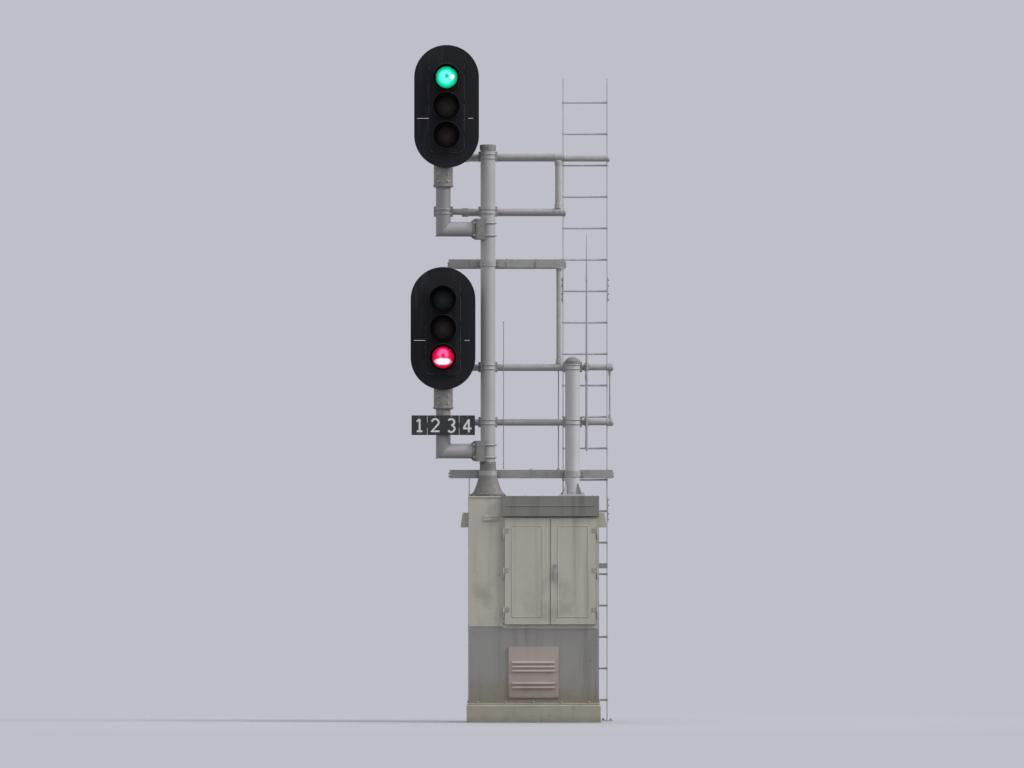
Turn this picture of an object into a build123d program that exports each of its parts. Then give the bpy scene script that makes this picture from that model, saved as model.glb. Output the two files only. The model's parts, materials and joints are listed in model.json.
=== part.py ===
from build123d import *
import math
import os

# A wayside colour-light signal: two lamp heads on a pipe mast that stands on the roof of
# a tall equipment case, with two railed platforms, a second post and a ladder behind.
# Millimetres. X runs along the front of the case, the lamps look towards -Y, Z is up.
# The origin is the middle of the plinth's underside.

# Clearances
touch_gap = 0.3
door_gap = 6.0

# Plinth
plinth_height = 180.0
plinth_margin = 20.0
plinth_edge = 18.0

# Case
case_width = 1250.0
case_depth = 760.0
case_top = 2180.0
sheet = 5.0
roof_thick = 20.0
roof_overhang = 5.0
lower_case_top = 960.0
jamb_left_width = 370.0
jamb_right_width = 40.0
header_height = 210.0
inner_deck_thick = 6.0
vent_width = 480.0
vent_height = 490.0
vent_thick = 14.0
vent_foot = 60.0
vent_slot_height = 12.0
vent_slot_side = 40.0
vent_slot_rows = (90.0, 130.0, 250.0, 290.0, 330.0)
cowl_height = 140.0
cowl_width = 200.0
cowl_reach = 80.0
cowl_neck = 58.0
cowl_drop = 160.0

# Doors and hinges
door_thick = 24.0
door_skin = 3.0
door_bottom_lap = 15.0
hinge_radius = 8.0
hinge_pin_radius = 3.0
hinge_bore_gap = 0.1
hinge_knuckle = 50.0
hinge_slack = 1.0
hinge_reach = 13.0
hinge_setback = 2.0
hinge_leaf_width = 14.0
hinge_heights = (1060.0, 1440.0, 1820.0)
hood_reach = 50.0
hood_height = 190.0
hood_sheet = 4.0
handle_height = 1450.0
handle_inset = 45.0
handle_plate_width = 40.0
handle_plate_height = 150.0
handle_plate_thick = 6.0
handle_stem_radius = 9.0
handle_stem_length = 26.0
handle_lever_length = 120.0
handle_lever_thick = 12.0
handle_lever_width = 20.0

# Pipes: five inch for mast, second post, arms and risers, two inch for rails
pipe_radius = 70.65
pipe_wall = 6.6
rail_radius = 30.15
strut_radius = 24.15
end_bar_radius = 8.0

# Mast and second post
mast_x = -440.0
post_y = -180.0
mast_above_rail = 108.0
base_radius = 170.0
base_flange = 20.0
flare_foot_radius = 150.0
flare_neck_radius = 77.0
flare_height = 283.0
neck_height = 25.0
cap_radius = 79.0
cap_height = 48.0
cap_plate = 8.0
second_x = 375.0
second_above_rail = 99.0
second_flange_side = 250.0
second_flange = 16.0
dome_radius = 76.0
dome_skirt = 26.0
dome_rise = 40.0

# Signal heads
riser_x = -870.0
upper_arm_z = 4750.0
lower_arm_z = 2612.0
head_above_arm = 1180.0
upper_head_shift = 32.0
lower_head_shift = -2.0
lamp_pitch = 279.4
background_radius = 312.0
background_sheet = 3.0
background_seam = 4.0
seam_below_centre = 115.0
housing_width = 300.0
housing_end_margin = 150.0
housing_corner = 60.0
housing_behind_riser = 90.0
housing_before_riser = 130.0
back_door_width = 260.0
back_door_margin = 30.0
back_door_thick = 14.0
face_width = 340.0
face_thick = 24.0
face_end_margin = 165.0
lens_radius = 106.7
lens_bulge = 14.0
lens_seat = 6.0
lens_recess = 10.0
hood_radius = 132.0
hood_shell = 3.0
hood_length = 300.0
hood_lip = 190.0
hood_open_angle = 100.0
collar_radius = 92.0
collar_length = 325.0
collar_socket = 150.0
clamp_height = 200.0
clamp_left = 126.0
clamp_right = 25.0
clamp_half_depth = 92.0

# Number plates
plate_count = 4
plate_width = 150.0
plate_height = 190.0
plate_thick = 3.0
plate_pitch = 153.5
plate_z = 2861.0
plate_offset = 12.0
bar_height = 50.0
bar_thick = 8.0
bar_side = 20.0
bar_saddle_width = 90.0

# Platforms: heights are the tops of the deck frames
saddle_depth = 40.0
saddle_width = 90.0
saddle_height = 60.0
platform_depth = 559.2
frame_width = 50.0
frame_height = 80.0
grating_thick = 32.0
joist_width = 12.0
joist_count = 3
upper_deck_z = 4462.0
lower_deck_z = 2432.0
upper_deck_left = -820.0
upper_deck_right = 305.0
lower_deck_left = -810.0
lower_deck_right = 765.0
mid_rail_above = 460.0
top_rail_above = 990.0
side_rail_left = -660.0
front_rail_left = -690.0
upper_post_x = 238.0

# Strut, rods, antenna
strut_x = 244.0
hang_rod_x = 240.0
hang_rod_radius = 5.5
hang_rod_rise = 70.0
mast_rod_x = -289.0
mast_rod_radius = 4.0
mast_rod_foot = 11.0
mast_rod_length = 1413.0
edge_rod_x = -621.0
whip_x = 511.0
whip_foot = 2645.0
whip_sleeve_top = 3330.0
whip_thin_from = 4260.0
whip_top = 4704.0
whip_sleeve_radius = 11.5
whip_middle_radius = 7.5
whip_tip_radius = 2.5
whip_block = 20.0
whip_block_side = 44.0

# Ladder
ladder_left = 287.0
ladder_right = 713.0
ladder_top = 6224.0
ladder_gap = 20.0
stile_thick = 9.5
stile_depth = 60.0
rung_radius = 9.5
rung_pitch = 304.8
rung_first = 204.8
rung_count = 20
foot_side = 110.0
foot_thick = 10.0
bracket_width = 40.0
bracket_height = 50.0
tie_height = 1480.0
tie_bar = 10.0
tie_arm_left = 330.0
tie_arm_right = 590.0

# Places worked out from the sizes above
half_width = case_width / 2
half_depth = case_depth / 2
case_front = -half_depth
walls_top = case_top - roof_thick
inner_half = half_width - sheet
hinge_y = case_front - door_gap - door_thick + hinge_setback
opening_left = -inner_half + jamb_left_width
opening_right = inner_half - jamb_right_width
opening_top = walls_top - header_height
hinge_left_x = opening_left - jamb_right_width
hinge_right_x = inner_half - hinge_radius
door_left_edge = hinge_left_x + hinge_reach
door_right_edge = hinge_right_x - hinge_reach
door_middle = (door_left_edge + door_right_edge) / 2
door_foot = lower_case_top - door_bottom_lap
door_head = opening_top + door_bottom_lap
door_front = case_front - door_gap - door_thick
rail_y = post_y + pipe_radius + saddle_depth + rail_radius
rear_y = rail_y + platform_depth
frame_front = rail_y - frame_width / 2
frame_rear = rear_y + frame_width / 2
ladder_front = frame_rear + ladder_gap
head_half = background_radius + lamp_pitch
flare_foot_z = case_top + base_flange
flare_neck_z = flare_foot_z + flare_height
flare_run = flare_foot_radius - flare_neck_radius
flare_arc = (flare_run**2 + flare_height**2) / (2 * flare_run)
mast_top = upper_deck_z + top_rail_above + mast_above_rail
second_top = lower_deck_z + top_rail_above + second_above_rail
face_y = post_y - housing_before_riser


def block(x_low, x_high, y_low, y_high, z_low, z_high):
    """A box between two corners."""
    size = (x_high - x_low, y_high - y_low, z_high - z_low)
    middle = ((x_low + x_high) / 2, (y_low + y_high) / 2, (z_low + z_high) / 2)
    return Pos(*middle) * Box(*size)


def rod(start, end, radius):
    """A round bar between two points."""
    line = Vector(*end) - Vector(*start)
    return extrude(Plane(origin=start, z_dir=line) * Circle(radius), amount=line.length)


def pipe(start, end, radius, wall):
    """A hollow round bar between two points."""
    return rod(start, end, radius) - rod(start, end, radius - wall)


def dome_arc(radius, low, rise):
    """The arc of a spherical cap, from its rim to its crown, in a plane through its axis."""
    sphere = (radius**2 + rise**2) / (2 * rise)
    half = radius / 2
    middle = low + rise - sphere + math.sqrt(sphere**2 - half**2)
    return ThreePointArc((radius, low), (half, middle), (0, low + rise))


def row_of(shapes):
    """Solids that share one node without touching."""
    return Compound(children=list(shapes))


def save(shape, name):
    """Writes one sub-part."""
    export_step(shape, f"parts/{name}.step")


# Plinth and case
def plinth():
    reach_x = half_width + plinth_margin
    reach_y = half_depth + plinth_margin
    body = block(-reach_x, reach_x, -reach_y, reach_y, 0, plinth_height)
    top_edges = body.faces().sort_by(Axis.Z)[-1].edges()
    return chamfer(top_edges, plinth_edge)


def side_wall(side):
    inner = side * inner_half
    outer = side * half_width
    x_low, x_high = sorted((inner, outer))
    return block(x_low, x_high, case_front, half_depth, plinth_height, walls_top)


def rear_wall():
    y_low = half_depth - sheet
    return block(-inner_half, inner_half, y_low, half_depth, plinth_height, walls_top)


def inner_deck():
    z_low = lower_case_top - inner_deck_thick
    return block(-inner_half, inner_half, case_front + sheet, half_depth - sheet, z_low, lower_case_top)


def lower_panel():
    y_high = case_front + sheet
    return block(-inner_half, inner_half, case_front, y_high, plinth_height, lower_case_top)


def louvre_vent():
    half = vent_width / 2
    foot = plinth_height + vent_foot
    cover = block(-half, half, case_front - vent_thick, case_front, foot, foot + vent_height)
    slot_half = half - vent_slot_side
    for row in vent_slot_rows:
        low = foot + row
        slot_back = case_front - vent_thick / 2
        slot_front = case_front - vent_thick
        cover -= block(-slot_half, slot_half, slot_front, slot_back, low, low + vent_slot_height)
    return cover


def front_jambs():
    y_high = case_front + sheet
    left = block(-inner_half, opening_left, case_front, y_high, lower_case_top, walls_top)
    right = block(opening_right, inner_half, case_front, y_high, lower_case_top, walls_top)
    return row_of([left, right])


def front_header():
    y_high = case_front + sheet
    return block(opening_left, opening_right, case_front, y_high, opening_top, walls_top)


def case_roof():
    reach_x = half_width + roof_overhang
    reach_y = half_depth + roof_overhang
    return block(-reach_x, reach_x, -reach_y, reach_y, walls_top, case_top)


def front_hood():
    """A folded sheet: a fascia that hangs before the doors' heads, with a top and two ends."""
    left = hinge_left_x - hinge_radius - door_gap
    right = half_width + roof_overhang
    back = case_front - roof_overhang
    front = back - hood_reach
    low = case_top - hood_height
    shell = block(left, right, front, back, low, case_top)
    hollow = block(left + hood_sheet, right - hood_sheet, front + hood_sheet, back, low, case_top - hood_sheet)
    fillers = block(left, right, back, case_front, low, walls_top)
    ends = fillers - block(left + hood_sheet, right - hood_sheet, back, case_front, low, walls_top)
    return (shell - hollow) + ends


def side_vents():
    """A cowl over the vent hole near the top of each side wall, open below, whose front leans outwards."""
    top = case_top - cowl_drop
    cowls = []
    for side in (-1, 1):
        wall = side * half_width
        tip = side * (half_width + cowl_reach)
        neck = side * (half_width + cowl_neck)
        outline = Polyline((wall, top), (neck, top), (tip, top - cowl_height), (wall, top - cowl_height), close=True)
        face = Plane.XZ * make_face(outline)
        cowls.append(Pos(0, cowl_width / 2, 0) * extrude(face, amount=cowl_width))
    return row_of(cowls)


# Doors
def door_leaf(side):
    """A pressed pan with the upper knuckles of its hinges on its outer edge."""
    axis_x = hinge_left_x if side < 0 else hinge_right_x
    outer = door_left_edge if side < 0 else door_right_edge
    inner = door_middle + side * door_gap / 2
    x_low, x_high = sorted((outer, inner))
    front = door_front
    back = front + door_thick
    leaf = block(x_low, x_high, front, back, door_foot, door_head)
    leaf -= block(
        x_low + door_skin,
        x_high - door_skin,
        front + door_skin,
        back,
        door_foot + door_skin,
        door_head - door_skin,
    )
    for height in hinge_heights:
        low = height + hinge_slack
        high = low + hinge_knuckle
        tab_low, tab_high = sorted((axis_x, outer))
        tab = block(tab_low, tab_high, front, hinge_y + hinge_setback, low, high)
        knuckle = rod((axis_x, hinge_y, low), (axis_x, hinge_y, high), hinge_radius)
        bore_radius = hinge_pin_radius + hinge_bore_gap
        bore = rod((axis_x, hinge_y, low), (axis_x, hinge_y, high), bore_radius)
        leaf = leaf + (tab + knuckle - bore)
    return leaf


def hinge_halves():
    """The fixed lower knuckles, with their pins and the leaves that carry them."""
    halves = []
    for axis_x in (hinge_left_x, hinge_right_x):
        for height in hinge_heights:
            low = height - hinge_knuckle
            knuckle = rod((axis_x, hinge_y, low), (axis_x, hinge_y, height), hinge_radius)
            half = hinge_leaf_width / 2
            leaf = block(axis_x - half, axis_x + half, hinge_y, case_front, low, height)
            pin_top = height + hinge_slack + hinge_knuckle
            pin = rod((axis_x, hinge_y, height), (axis_x, hinge_y, pin_top), hinge_pin_radius)
            halves.append(knuckle + leaf + pin)
    return row_of(halves)


def door_handle():
    """A plate and a lever near the meeting edge of the right leaf."""
    x = door_middle + door_gap / 2 + handle_inset
    half = handle_plate_width / 2
    plate_front = door_front - handle_plate_thick
    tall = handle_plate_height / 2
    plate = block(x - half, x + half, plate_front, door_front, handle_height - tall, handle_height + tall)
    stem_end = plate_front - handle_stem_length
    stem = rod((x, plate_front, handle_height), (x, stem_end, handle_height), handle_stem_radius)
    lever_half = handle_lever_width / 2
    lever = block(
        x - lever_half,
        x + lever_half,
        stem_end - handle_lever_thick,
        stem_end,
        handle_height - handle_lever_length,
        handle_height + lever_half,
    )
    return plate + stem + lever


# Mast and second post
def mast_base():
    """A flange and a hollow flare whose side is an arc that runs upright into the neck."""
    bore = pipe_radius + touch_gap
    top = flare_neck_z + neck_height
    middle_z = flare_foot_z + flare_height / 2
    side = ThreePointArc(
        (flare_foot_radius, flare_foot_z),
        (flare_radius_at(middle_z), middle_z),
        (flare_neck_radius, flare_neck_z),
    )
    outline = [
        Line((0, case_top), (base_radius, case_top)),
        Line((base_radius, case_top), (base_radius, flare_foot_z)),
        Line((base_radius, flare_foot_z), (flare_foot_radius, flare_foot_z)),
        side,
        Line((flare_neck_radius, flare_neck_z), (flare_neck_radius, top)),
        Line((flare_neck_radius, top), (bore, top)),
        Line((bore, top), (bore, flare_foot_z)),
        Line((bore, flare_foot_z), (0, flare_foot_z)),
        Line((0, flare_foot_z), (0, case_top)),
    ]
    face = Plane.XZ * make_face(outline)
    return Pos(mast_x, post_y, 0) * revolve(face, Axis.Z)


def flare_radius_at(height):
    """The radius of the flare's hollow side; the arc's centre is level with the neck."""
    below_neck = flare_neck_z - height
    return flare_neck_radius + flare_arc - math.sqrt(flare_arc**2 - below_neck**2)


def mast():
    top = mast_top - cap_plate
    return pipe((mast_x, post_y, flare_foot_z), (mast_x, post_y, top), pipe_radius, pipe_wall)


def second_post():
    foot = case_top + second_flange
    tube = pipe((second_x, post_y, case_top), (second_x, post_y, second_top - dome_rise), pipe_radius, pipe_wall)
    half = second_flange_side / 2
    flange = block(second_x - half, second_x + half, post_y - half, post_y + half, case_top, foot)
    return flange + tube


def post_caps():
    """A flat cap on the mast and a domed cap on the second post."""
    bore = pipe_radius + touch_gap
    low = mast_top - cap_height
    flat = rod((mast_x, post_y, low), (mast_x, post_y, mast_top), cap_radius)
    flat -= rod((mast_x, post_y, low), (mast_x, post_y, mast_top - cap_plate), bore)
    seat = second_top - dome_rise
    skirt_low = seat - dome_skirt
    outline = [
        Line((bore, skirt_low), (dome_radius, skirt_low)),
        Line((dome_radius, skirt_low), (dome_radius, seat)),
        dome_arc(dome_radius, seat, dome_rise),
        Line((0, second_top), (0, seat)),
        Line((0, seat), (bore, seat)),
        Line((bore, seat), (bore, skirt_low)),
    ]
    dome = Pos(second_x, post_y, 0) * revolve(Plane.XZ * make_face(outline), Axis.Z)
    return row_of([flat, dome])


# Arms, risers and collars
def arm_clamps():
    """A solid jaw on the mast's left side for each arm."""
    jaws = []
    for arm_z in (upper_arm_z, lower_arm_z):
        left = mast_x - clamp_left
        right = mast_x - clamp_right
        low = arm_z - clamp_height / 2
        high = arm_z + clamp_height / 2
        jaw = block(left, right, post_y - clamp_half_depth, post_y + clamp_half_depth, low, high)
        jaw = fillet(jaw.edges().filter_by(Axis.Z).sort_by(Axis.X)[:2], clamp_half_depth / 3)
        around = rod((mast_x, post_y, low), (mast_x, post_y, high), pipe_radius + touch_gap)
        jaws.append(jaw - around)
    return row_of(jaws)


def mitre_plane(arm_z):
    """The corner's plane, which leans half way between the arm and the riser."""
    return Plane(origin=(riser_x, post_y, arm_z), z_dir=(-1, 0, 1))


def arm(arm_z):
    start = riser_x - pipe_radius
    end = mast_x - clamp_left
    tube = pipe((start, post_y, arm_z), (end, post_y, arm_z), pipe_radius, pipe_wall)
    return split(tube, bisect_by=mitre_plane(arm_z), keep=Keep.BOTTOM)


def riser(arm_z):
    top = arm_z + head_above_arm - head_half + background_radius - housing_end_margin
    top = top - collar_length + collar_socket
    tube = pipe((riser_x, post_y, arm_z - pipe_radius), (riser_x, post_y, top), pipe_radius, pipe_wall)
    return split(tube, bisect_by=mitre_plane(arm_z), keep=Keep.TOP)


def housing_foot(arm_z):
    """The height of a housing's lower end."""
    return arm_z + head_above_arm - lamp_pitch - housing_end_margin


def head_collars():
    """A socket over each riser's end that carries the housing above."""
    sockets = []
    for arm_z in (upper_arm_z, lower_arm_z):
        top = housing_foot(arm_z)
        low = top - collar_length
        seat = low + collar_socket
        body = rod((riser_x, post_y, low), (riser_x, post_y, top), collar_radius)
        bore = rod((riser_x, post_y, low), (riser_x, post_y, seat), pipe_radius + touch_gap)
        sockets.append(body - bore)
    return row_of(sockets)


# Signal heads
def head_place(arm_z, shift):
    """The middle of a head's front face."""
    return Pos(riser_x + shift, face_y, arm_z + head_above_arm)


def upright_slot(half_width_x, half_height, depth):
    """A stadium standing on end, that runs back from its face."""
    length = 2 * (half_height - half_width_x)
    outline = Rot(0, 0, 90) * SlotCenterToCenter(length, 2 * half_width_x)
    return extrude(Plane.XZ * outline, amount=-depth)


def background(arm_z, shift):
    """Two thin sheets that meet at a seam below the middle lamp, around the housing's face."""
    sheet_shape = upright_slot(background_radius, head_half, background_sheet)
    hole_half = face_width / 2 + touch_gap
    hole_tall = lamp_pitch + face_end_margin + touch_gap
    hole = block(-hole_half, hole_half, 0, background_sheet, -hole_tall, hole_tall)
    sheet_shape -= fillet(hole.edges().filter_by(Axis.Y), housing_corner + touch_gap)
    wide = background_radius
    tall = head_half
    seam = -seam_below_centre
    gap = background_seam / 2
    upper = sheet_shape & block(-wide, wide, 0, background_sheet, seam + gap, tall)
    lower = sheet_shape & block(-wide, wide, 0, background_sheet, -tall, seam - gap)
    place = head_place(arm_z, shift)
    return row_of([place * upper, place * lower])


def housing(arm_z, shift):
    """The lamp case behind the background, its thick front face with three lamp seats, and its back door."""
    depth = housing_before_riser + housing_behind_riser
    half = housing_width / 2
    tall = lamp_pitch + housing_end_margin
    body = block(-half, half, background_sheet, depth, -tall, tall)
    body = fillet(body.edges().filter_by(Axis.Y), housing_corner)
    face_half = face_width / 2
    face_tall = lamp_pitch + face_end_margin
    face = block(-face_half, face_half, -face_thick, background_sheet, -face_tall, face_tall)
    face = fillet(face.edges().filter_by(Axis.Y), housing_corner)
    door_half = back_door_width / 2
    door_tall = tall - back_door_margin
    back_door = block(-door_half, door_half, depth, depth + back_door_thick, -door_tall, door_tall)
    body = body + face + back_door
    for row in (-1, 0, 1):
        z = row * lamp_pitch
        seat = rod((0, -face_thick, z), (0, -face_thick + lens_recess, z), lens_radius + touch_gap)
        body -= seat
    return head_place(arm_z, shift) * body


def lamp_lens(arm_z, shift, row):
    """A shallow dome of glass: a disc with a spherical front."""
    seat = lens_recess - touch_gap
    outline = [
        Line((0, 0), (lens_radius, 0)),
        Line((lens_radius, 0), (lens_radius, lens_seat)),
        dome_arc(lens_radius, lens_seat, lens_bulge),
        Line((0, lens_seat + lens_bulge), (0, 0)),
    ]
    dome = revolve(Plane.XZ * make_face(outline), Axis.Z)
    place = head_place(arm_z, shift) * Pos(0, -face_thick + seat, row * lamp_pitch)
    return place * Rot(90, 0, 0) * dome


def lenses(row):
    """The lenses of one colour, one in each head."""
    upper = lamp_lens(upper_arm_z, upper_head_shift, row)
    lower = lamp_lens(lower_arm_z, lower_head_shift, row)
    return row_of([upper, lower])


def lamp_hoods(arm_z, shift):
    """Round hoods, open below, whose front edges slope back towards the bottom."""
    shells = []
    for row in (-1, 0, 1):
        z = row * lamp_pitch
        front = -face_thick - hood_length
        outer = rod((0, -face_thick, z), (0, front, z), hood_radius)
        inner = rod((0, -face_thick, z), (0, front, z), hood_radius - hood_shell)
        shell = outer - inner
        reach = 2 * hood_radius
        half_angle = math.radians(hood_open_angle / 2)
        wedge_x = reach * math.tan(half_angle)
        wedge = Polyline((0, z), (-wedge_x, z - reach), (wedge_x, z - reach), close=True)
        mouth = extrude(Plane.XZ * make_face(wedge), amount=-(front * 2))
        shell -= Pos(0, front * 2, 0) * mouth
        slope = Polyline(
            (front, z + hood_radius),
            (front, z - hood_radius),
            (front + hood_length - hood_lip, z - hood_radius),
            close=True,
        )
        slice_face = Plane.YZ * make_face(slope)
        shell -= Pos(-hood_radius, 0, 0) * extrude(slice_face, amount=2 * hood_radius)
        shells.append(head_place(arm_z, shift) * shell)
    return row_of(shells)


# Number plates
def plate_face_y():
    """The plates' back faces."""
    return post_y - pipe_radius - plate_offset - bar_thick


def number_plates():
    plates = []
    first = riser_x - plate_pitch * (plate_count - 1) / 2
    back = plate_face_y()
    low = plate_z - plate_height / 2
    for place in range(plate_count):
        x = first + place * plate_pitch
        half = plate_width / 2
        plates.append(block(x - half, x + half, back - plate_thick, back, low, low + plate_height))
    return row_of(plates)


def number_bracket():
    """A flat bar behind the plates and a saddle between it and the riser."""
    back = plate_face_y()
    reach = plate_pitch * plate_count / 2 - bar_side
    half = bar_height / 2
    bar = block(riser_x - reach, riser_x + reach, back, back + bar_thick, plate_z - half, plate_z + half)
    side = bar_saddle_width / 2
    saddle = block(riser_x - side, riser_x + side, back + bar_thick, post_y, plate_z - side, plate_z + side)
    around = rod((riser_x, post_y, plate_z - side), (riser_x, post_y, plate_z + side), pipe_radius + touch_gap)
    return bar + (saddle - around)


# Platforms
def deck_frame(left, right, top):
    """Four edge bars and the joists between them."""
    low = top - frame_height
    outer = block(left, right, frame_front, frame_rear, low, top)
    inner_front = frame_front + frame_width
    inner_rear = frame_rear - frame_width
    inside = block(left + frame_width, right - frame_width, inner_front, inner_rear, low, top)
    frame = outer - inside
    spacing = (right - left) / (joist_count + 1)
    for number in range(1, joist_count + 1):
        x = left + number * spacing
        half = joist_width / 2
        frame += block(x - half, x + half, inner_front, inner_rear, low, top - grating_thick)
    return frame


def deck(left, right, top):
    inner_front = frame_front + frame_width
    inner_rear = frame_rear - frame_width
    low = top - grating_thick
    return block(left + frame_width, right - frame_width, inner_front, inner_rear, low, top)


def front_rails(deck_z, top_left, top_right, mid_left, mid_right, post_x, post_radius):
    """Top and middle rail with the post or bar that joins their ends."""
    top = deck_z + top_rail_above
    mid = deck_z + mid_rail_above
    upper = rod((top_left, rail_y, top), (top_right, rail_y, top), rail_radius)
    lower = rod((mid_left, rail_y, mid), (mid_right, rail_y, mid), rail_radius)
    step = rail_radius + touch_gap
    post = rod((post_x, rail_y, mid + step), (post_x, rail_y, top - step), post_radius)
    return row_of([upper, lower, post])


def rear_rails(deck_z, top_right, mid_right):
    """Top and middle rail, and the stanchion that stands behind the mast."""
    top = deck_z + top_rail_above
    mid = deck_z + mid_rail_above
    upper = rod((front_rail_left, rear_y, top), (top_right, rear_y, top), rail_radius)
    lower = rod((front_rail_left, rear_y, mid), (mid_right, rear_y, mid), rail_radius)
    step = rail_radius + touch_gap
    tall_post = rod((mast_x, rear_y, mid + step), (mast_x, rear_y, top - step), strut_radius)
    short_post = rod((mast_x, rear_y, deck_z), (mast_x, rear_y, mid - step), strut_radius)
    return row_of([upper, lower, tall_post, short_post])


def end_rails():
    """Rails that close the left ends of both platforms and the right end of the lower one."""
    rails = []
    step = rail_radius + touch_gap
    for deck_z in (upper_deck_z, lower_deck_z):
        for above in (mid_rail_above, top_rail_above):
            z = deck_z + above
            rails.append(rod((side_rail_left, rail_y + step, z), (side_rail_left, rear_y - step, z), rail_radius))
    right = lower_deck_right - rail_radius
    for above in (mid_rail_above, top_rail_above):
        z = lower_deck_z + above
        rails.append(rod((right, rail_y + step, z), (right, ladder_front, z), rail_radius))
    return row_of(rails)


def post_clamps():
    """Saddles between the posts and what they carry: rails, and the deck frames' front edges."""
    saddles = []
    rail_seats = [
        (mast_x, upper_deck_z + top_rail_above),
        (mast_x, upper_deck_z + mid_rail_above),
        (riser_x, upper_deck_z + mid_rail_above),
        (mast_x, lower_deck_z + top_rail_above),
        (mast_x, lower_deck_z + mid_rail_above),
        (second_x, lower_deck_z + top_rail_above),
        (second_x, lower_deck_z + mid_rail_above),
    ]
    half = saddle_width / 2
    tall = saddle_height / 2
    for x, z in rail_seats:
        saddle = block(x - half, x + half, post_y, rail_y, z - tall, z + tall)
        saddle -= rod((x, post_y, z - tall), (x, post_y, z + tall), pipe_radius + touch_gap)
        saddle -= rod((x - half, rail_y, z), (x + half, rail_y, z), rail_radius + touch_gap)
        saddles.append(saddle)
    lower_foot = lower_deck_z - frame_height
    frame_seats = [
        (mast_x, upper_deck_z, pipe_radius, pipe_radius),
        (mast_x, lower_deck_z, flare_radius_at(lower_foot), flare_radius_at(lower_deck_z)),
        (second_x, lower_deck_z, pipe_radius, pipe_radius),
    ]
    for x, z, foot_radius, head_radius in frame_seats:
        low = z - frame_height
        saddle = block(x - half, x + half, post_y, frame_front, low, z)
        saddle -= tapered_rod(x, low, z, foot_radius + touch_gap, head_radius + touch_gap)
        saddles.append(saddle)
    return row_of(saddles)


def tapered_rod(x, low, high, foot_radius, head_radius):
    """An upright round bar on the posts' line whose radius changes evenly with height."""
    outline = Polyline((0, low), (foot_radius, low), (head_radius, high), (0, high), close=True)
    return Pos(x, post_y, 0) * revolve(Plane.XZ * make_face(outline), Axis.Z)


# Strut, rods and antenna
def platform_strut():
    low = lower_deck_z + top_rail_above + rail_radius + touch_gap
    high = upper_deck_z - frame_height
    return rod((strut_x, rail_y, low), (strut_x, rail_y, high), strut_radius)


def tie_rods():
    """Thin upright rods: behind the lower rails, before them near the mast, and at the roof's edge."""
    behind = rail_y + rail_radius + touch_gap + hang_rod_radius
    hang_top = lower_deck_z + top_rail_above + hang_rod_rise
    hang = rod((hang_rod_x, behind, lower_deck_z), (hang_rod_x, behind, hang_top), hang_rod_radius)
    before = rail_y - rail_radius - touch_gap - mast_rod_radius
    foot = lower_deck_z + mast_rod_foot
    near_mast = rod((mast_rod_x, before, foot), (mast_rod_x, before, foot + mast_rod_length), mast_rod_radius)
    edge_top = lower_deck_z - frame_height
    edge = rod((edge_rod_x, rail_y, case_top), (edge_rod_x, rail_y, edge_top), mast_rod_radius)
    return row_of([hang, near_mast, edge])


def whip_antenna():
    """A tapering whip in a sleeve, on two blocks before the lower rails."""
    y = rail_y - rail_radius - touch_gap - whip_block - touch_gap - whip_sleeve_radius
    outline = Polyline(
        (0, whip_foot),
        (whip_sleeve_radius, whip_foot),
        (whip_sleeve_radius, whip_sleeve_top),
        (whip_middle_radius, whip_thin_from),
        (whip_tip_radius, whip_top),
        (0, whip_top),
        close=True,
    )
    whip = Pos(whip_x, y, 0) * revolve(Plane.XZ * make_face(outline), Axis.Z)
    pieces = [whip]
    half = whip_block_side / 2
    y_high = rail_y - rail_radius - touch_gap
    for above in (mid_rail_above, top_rail_above):
        z = lower_deck_z + above
        y_low = y + whip_radius_at(z) + touch_gap
        pieces.append(block(whip_x - half, whip_x + half, y_low, y_high, z - half, z + half))
    return row_of(pieces)


def whip_radius_at(height):
    """The whip's radius, which shrinks evenly above its sleeve."""
    if height <= whip_sleeve_top:
        return whip_sleeve_radius
    share = (height - whip_sleeve_top) / (whip_thin_from - whip_sleeve_top)
    return whip_sleeve_radius + share * (whip_middle_radius - whip_sleeve_radius)


# Ladder
def ladder():
    """Flat stiles that stand on foot plates, with round rungs between them."""
    back = ladder_front + stile_depth
    middle = ladder_front + stile_depth / 2
    half = stile_thick / 2
    foot_half = foot_side / 2
    pieces = []
    for x in (ladder_left, ladder_right):
        stile_foot = foot_thick + touch_gap
        pieces.append(block(x - half, x + half, ladder_front, back, stile_foot, ladder_top))
        pieces.append(block(x - foot_half, x + foot_half, middle - foot_half, middle + foot_half, 0, foot_thick))
    rung_left = ladder_left + half + touch_gap
    rung_right = ladder_right - half - touch_gap
    for number in range(rung_count):
        z = rung_first + number * rung_pitch
        pieces.append(rod((rung_left, middle, z), (rung_right, middle, z), rung_radius))
    return row_of(pieces)


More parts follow.
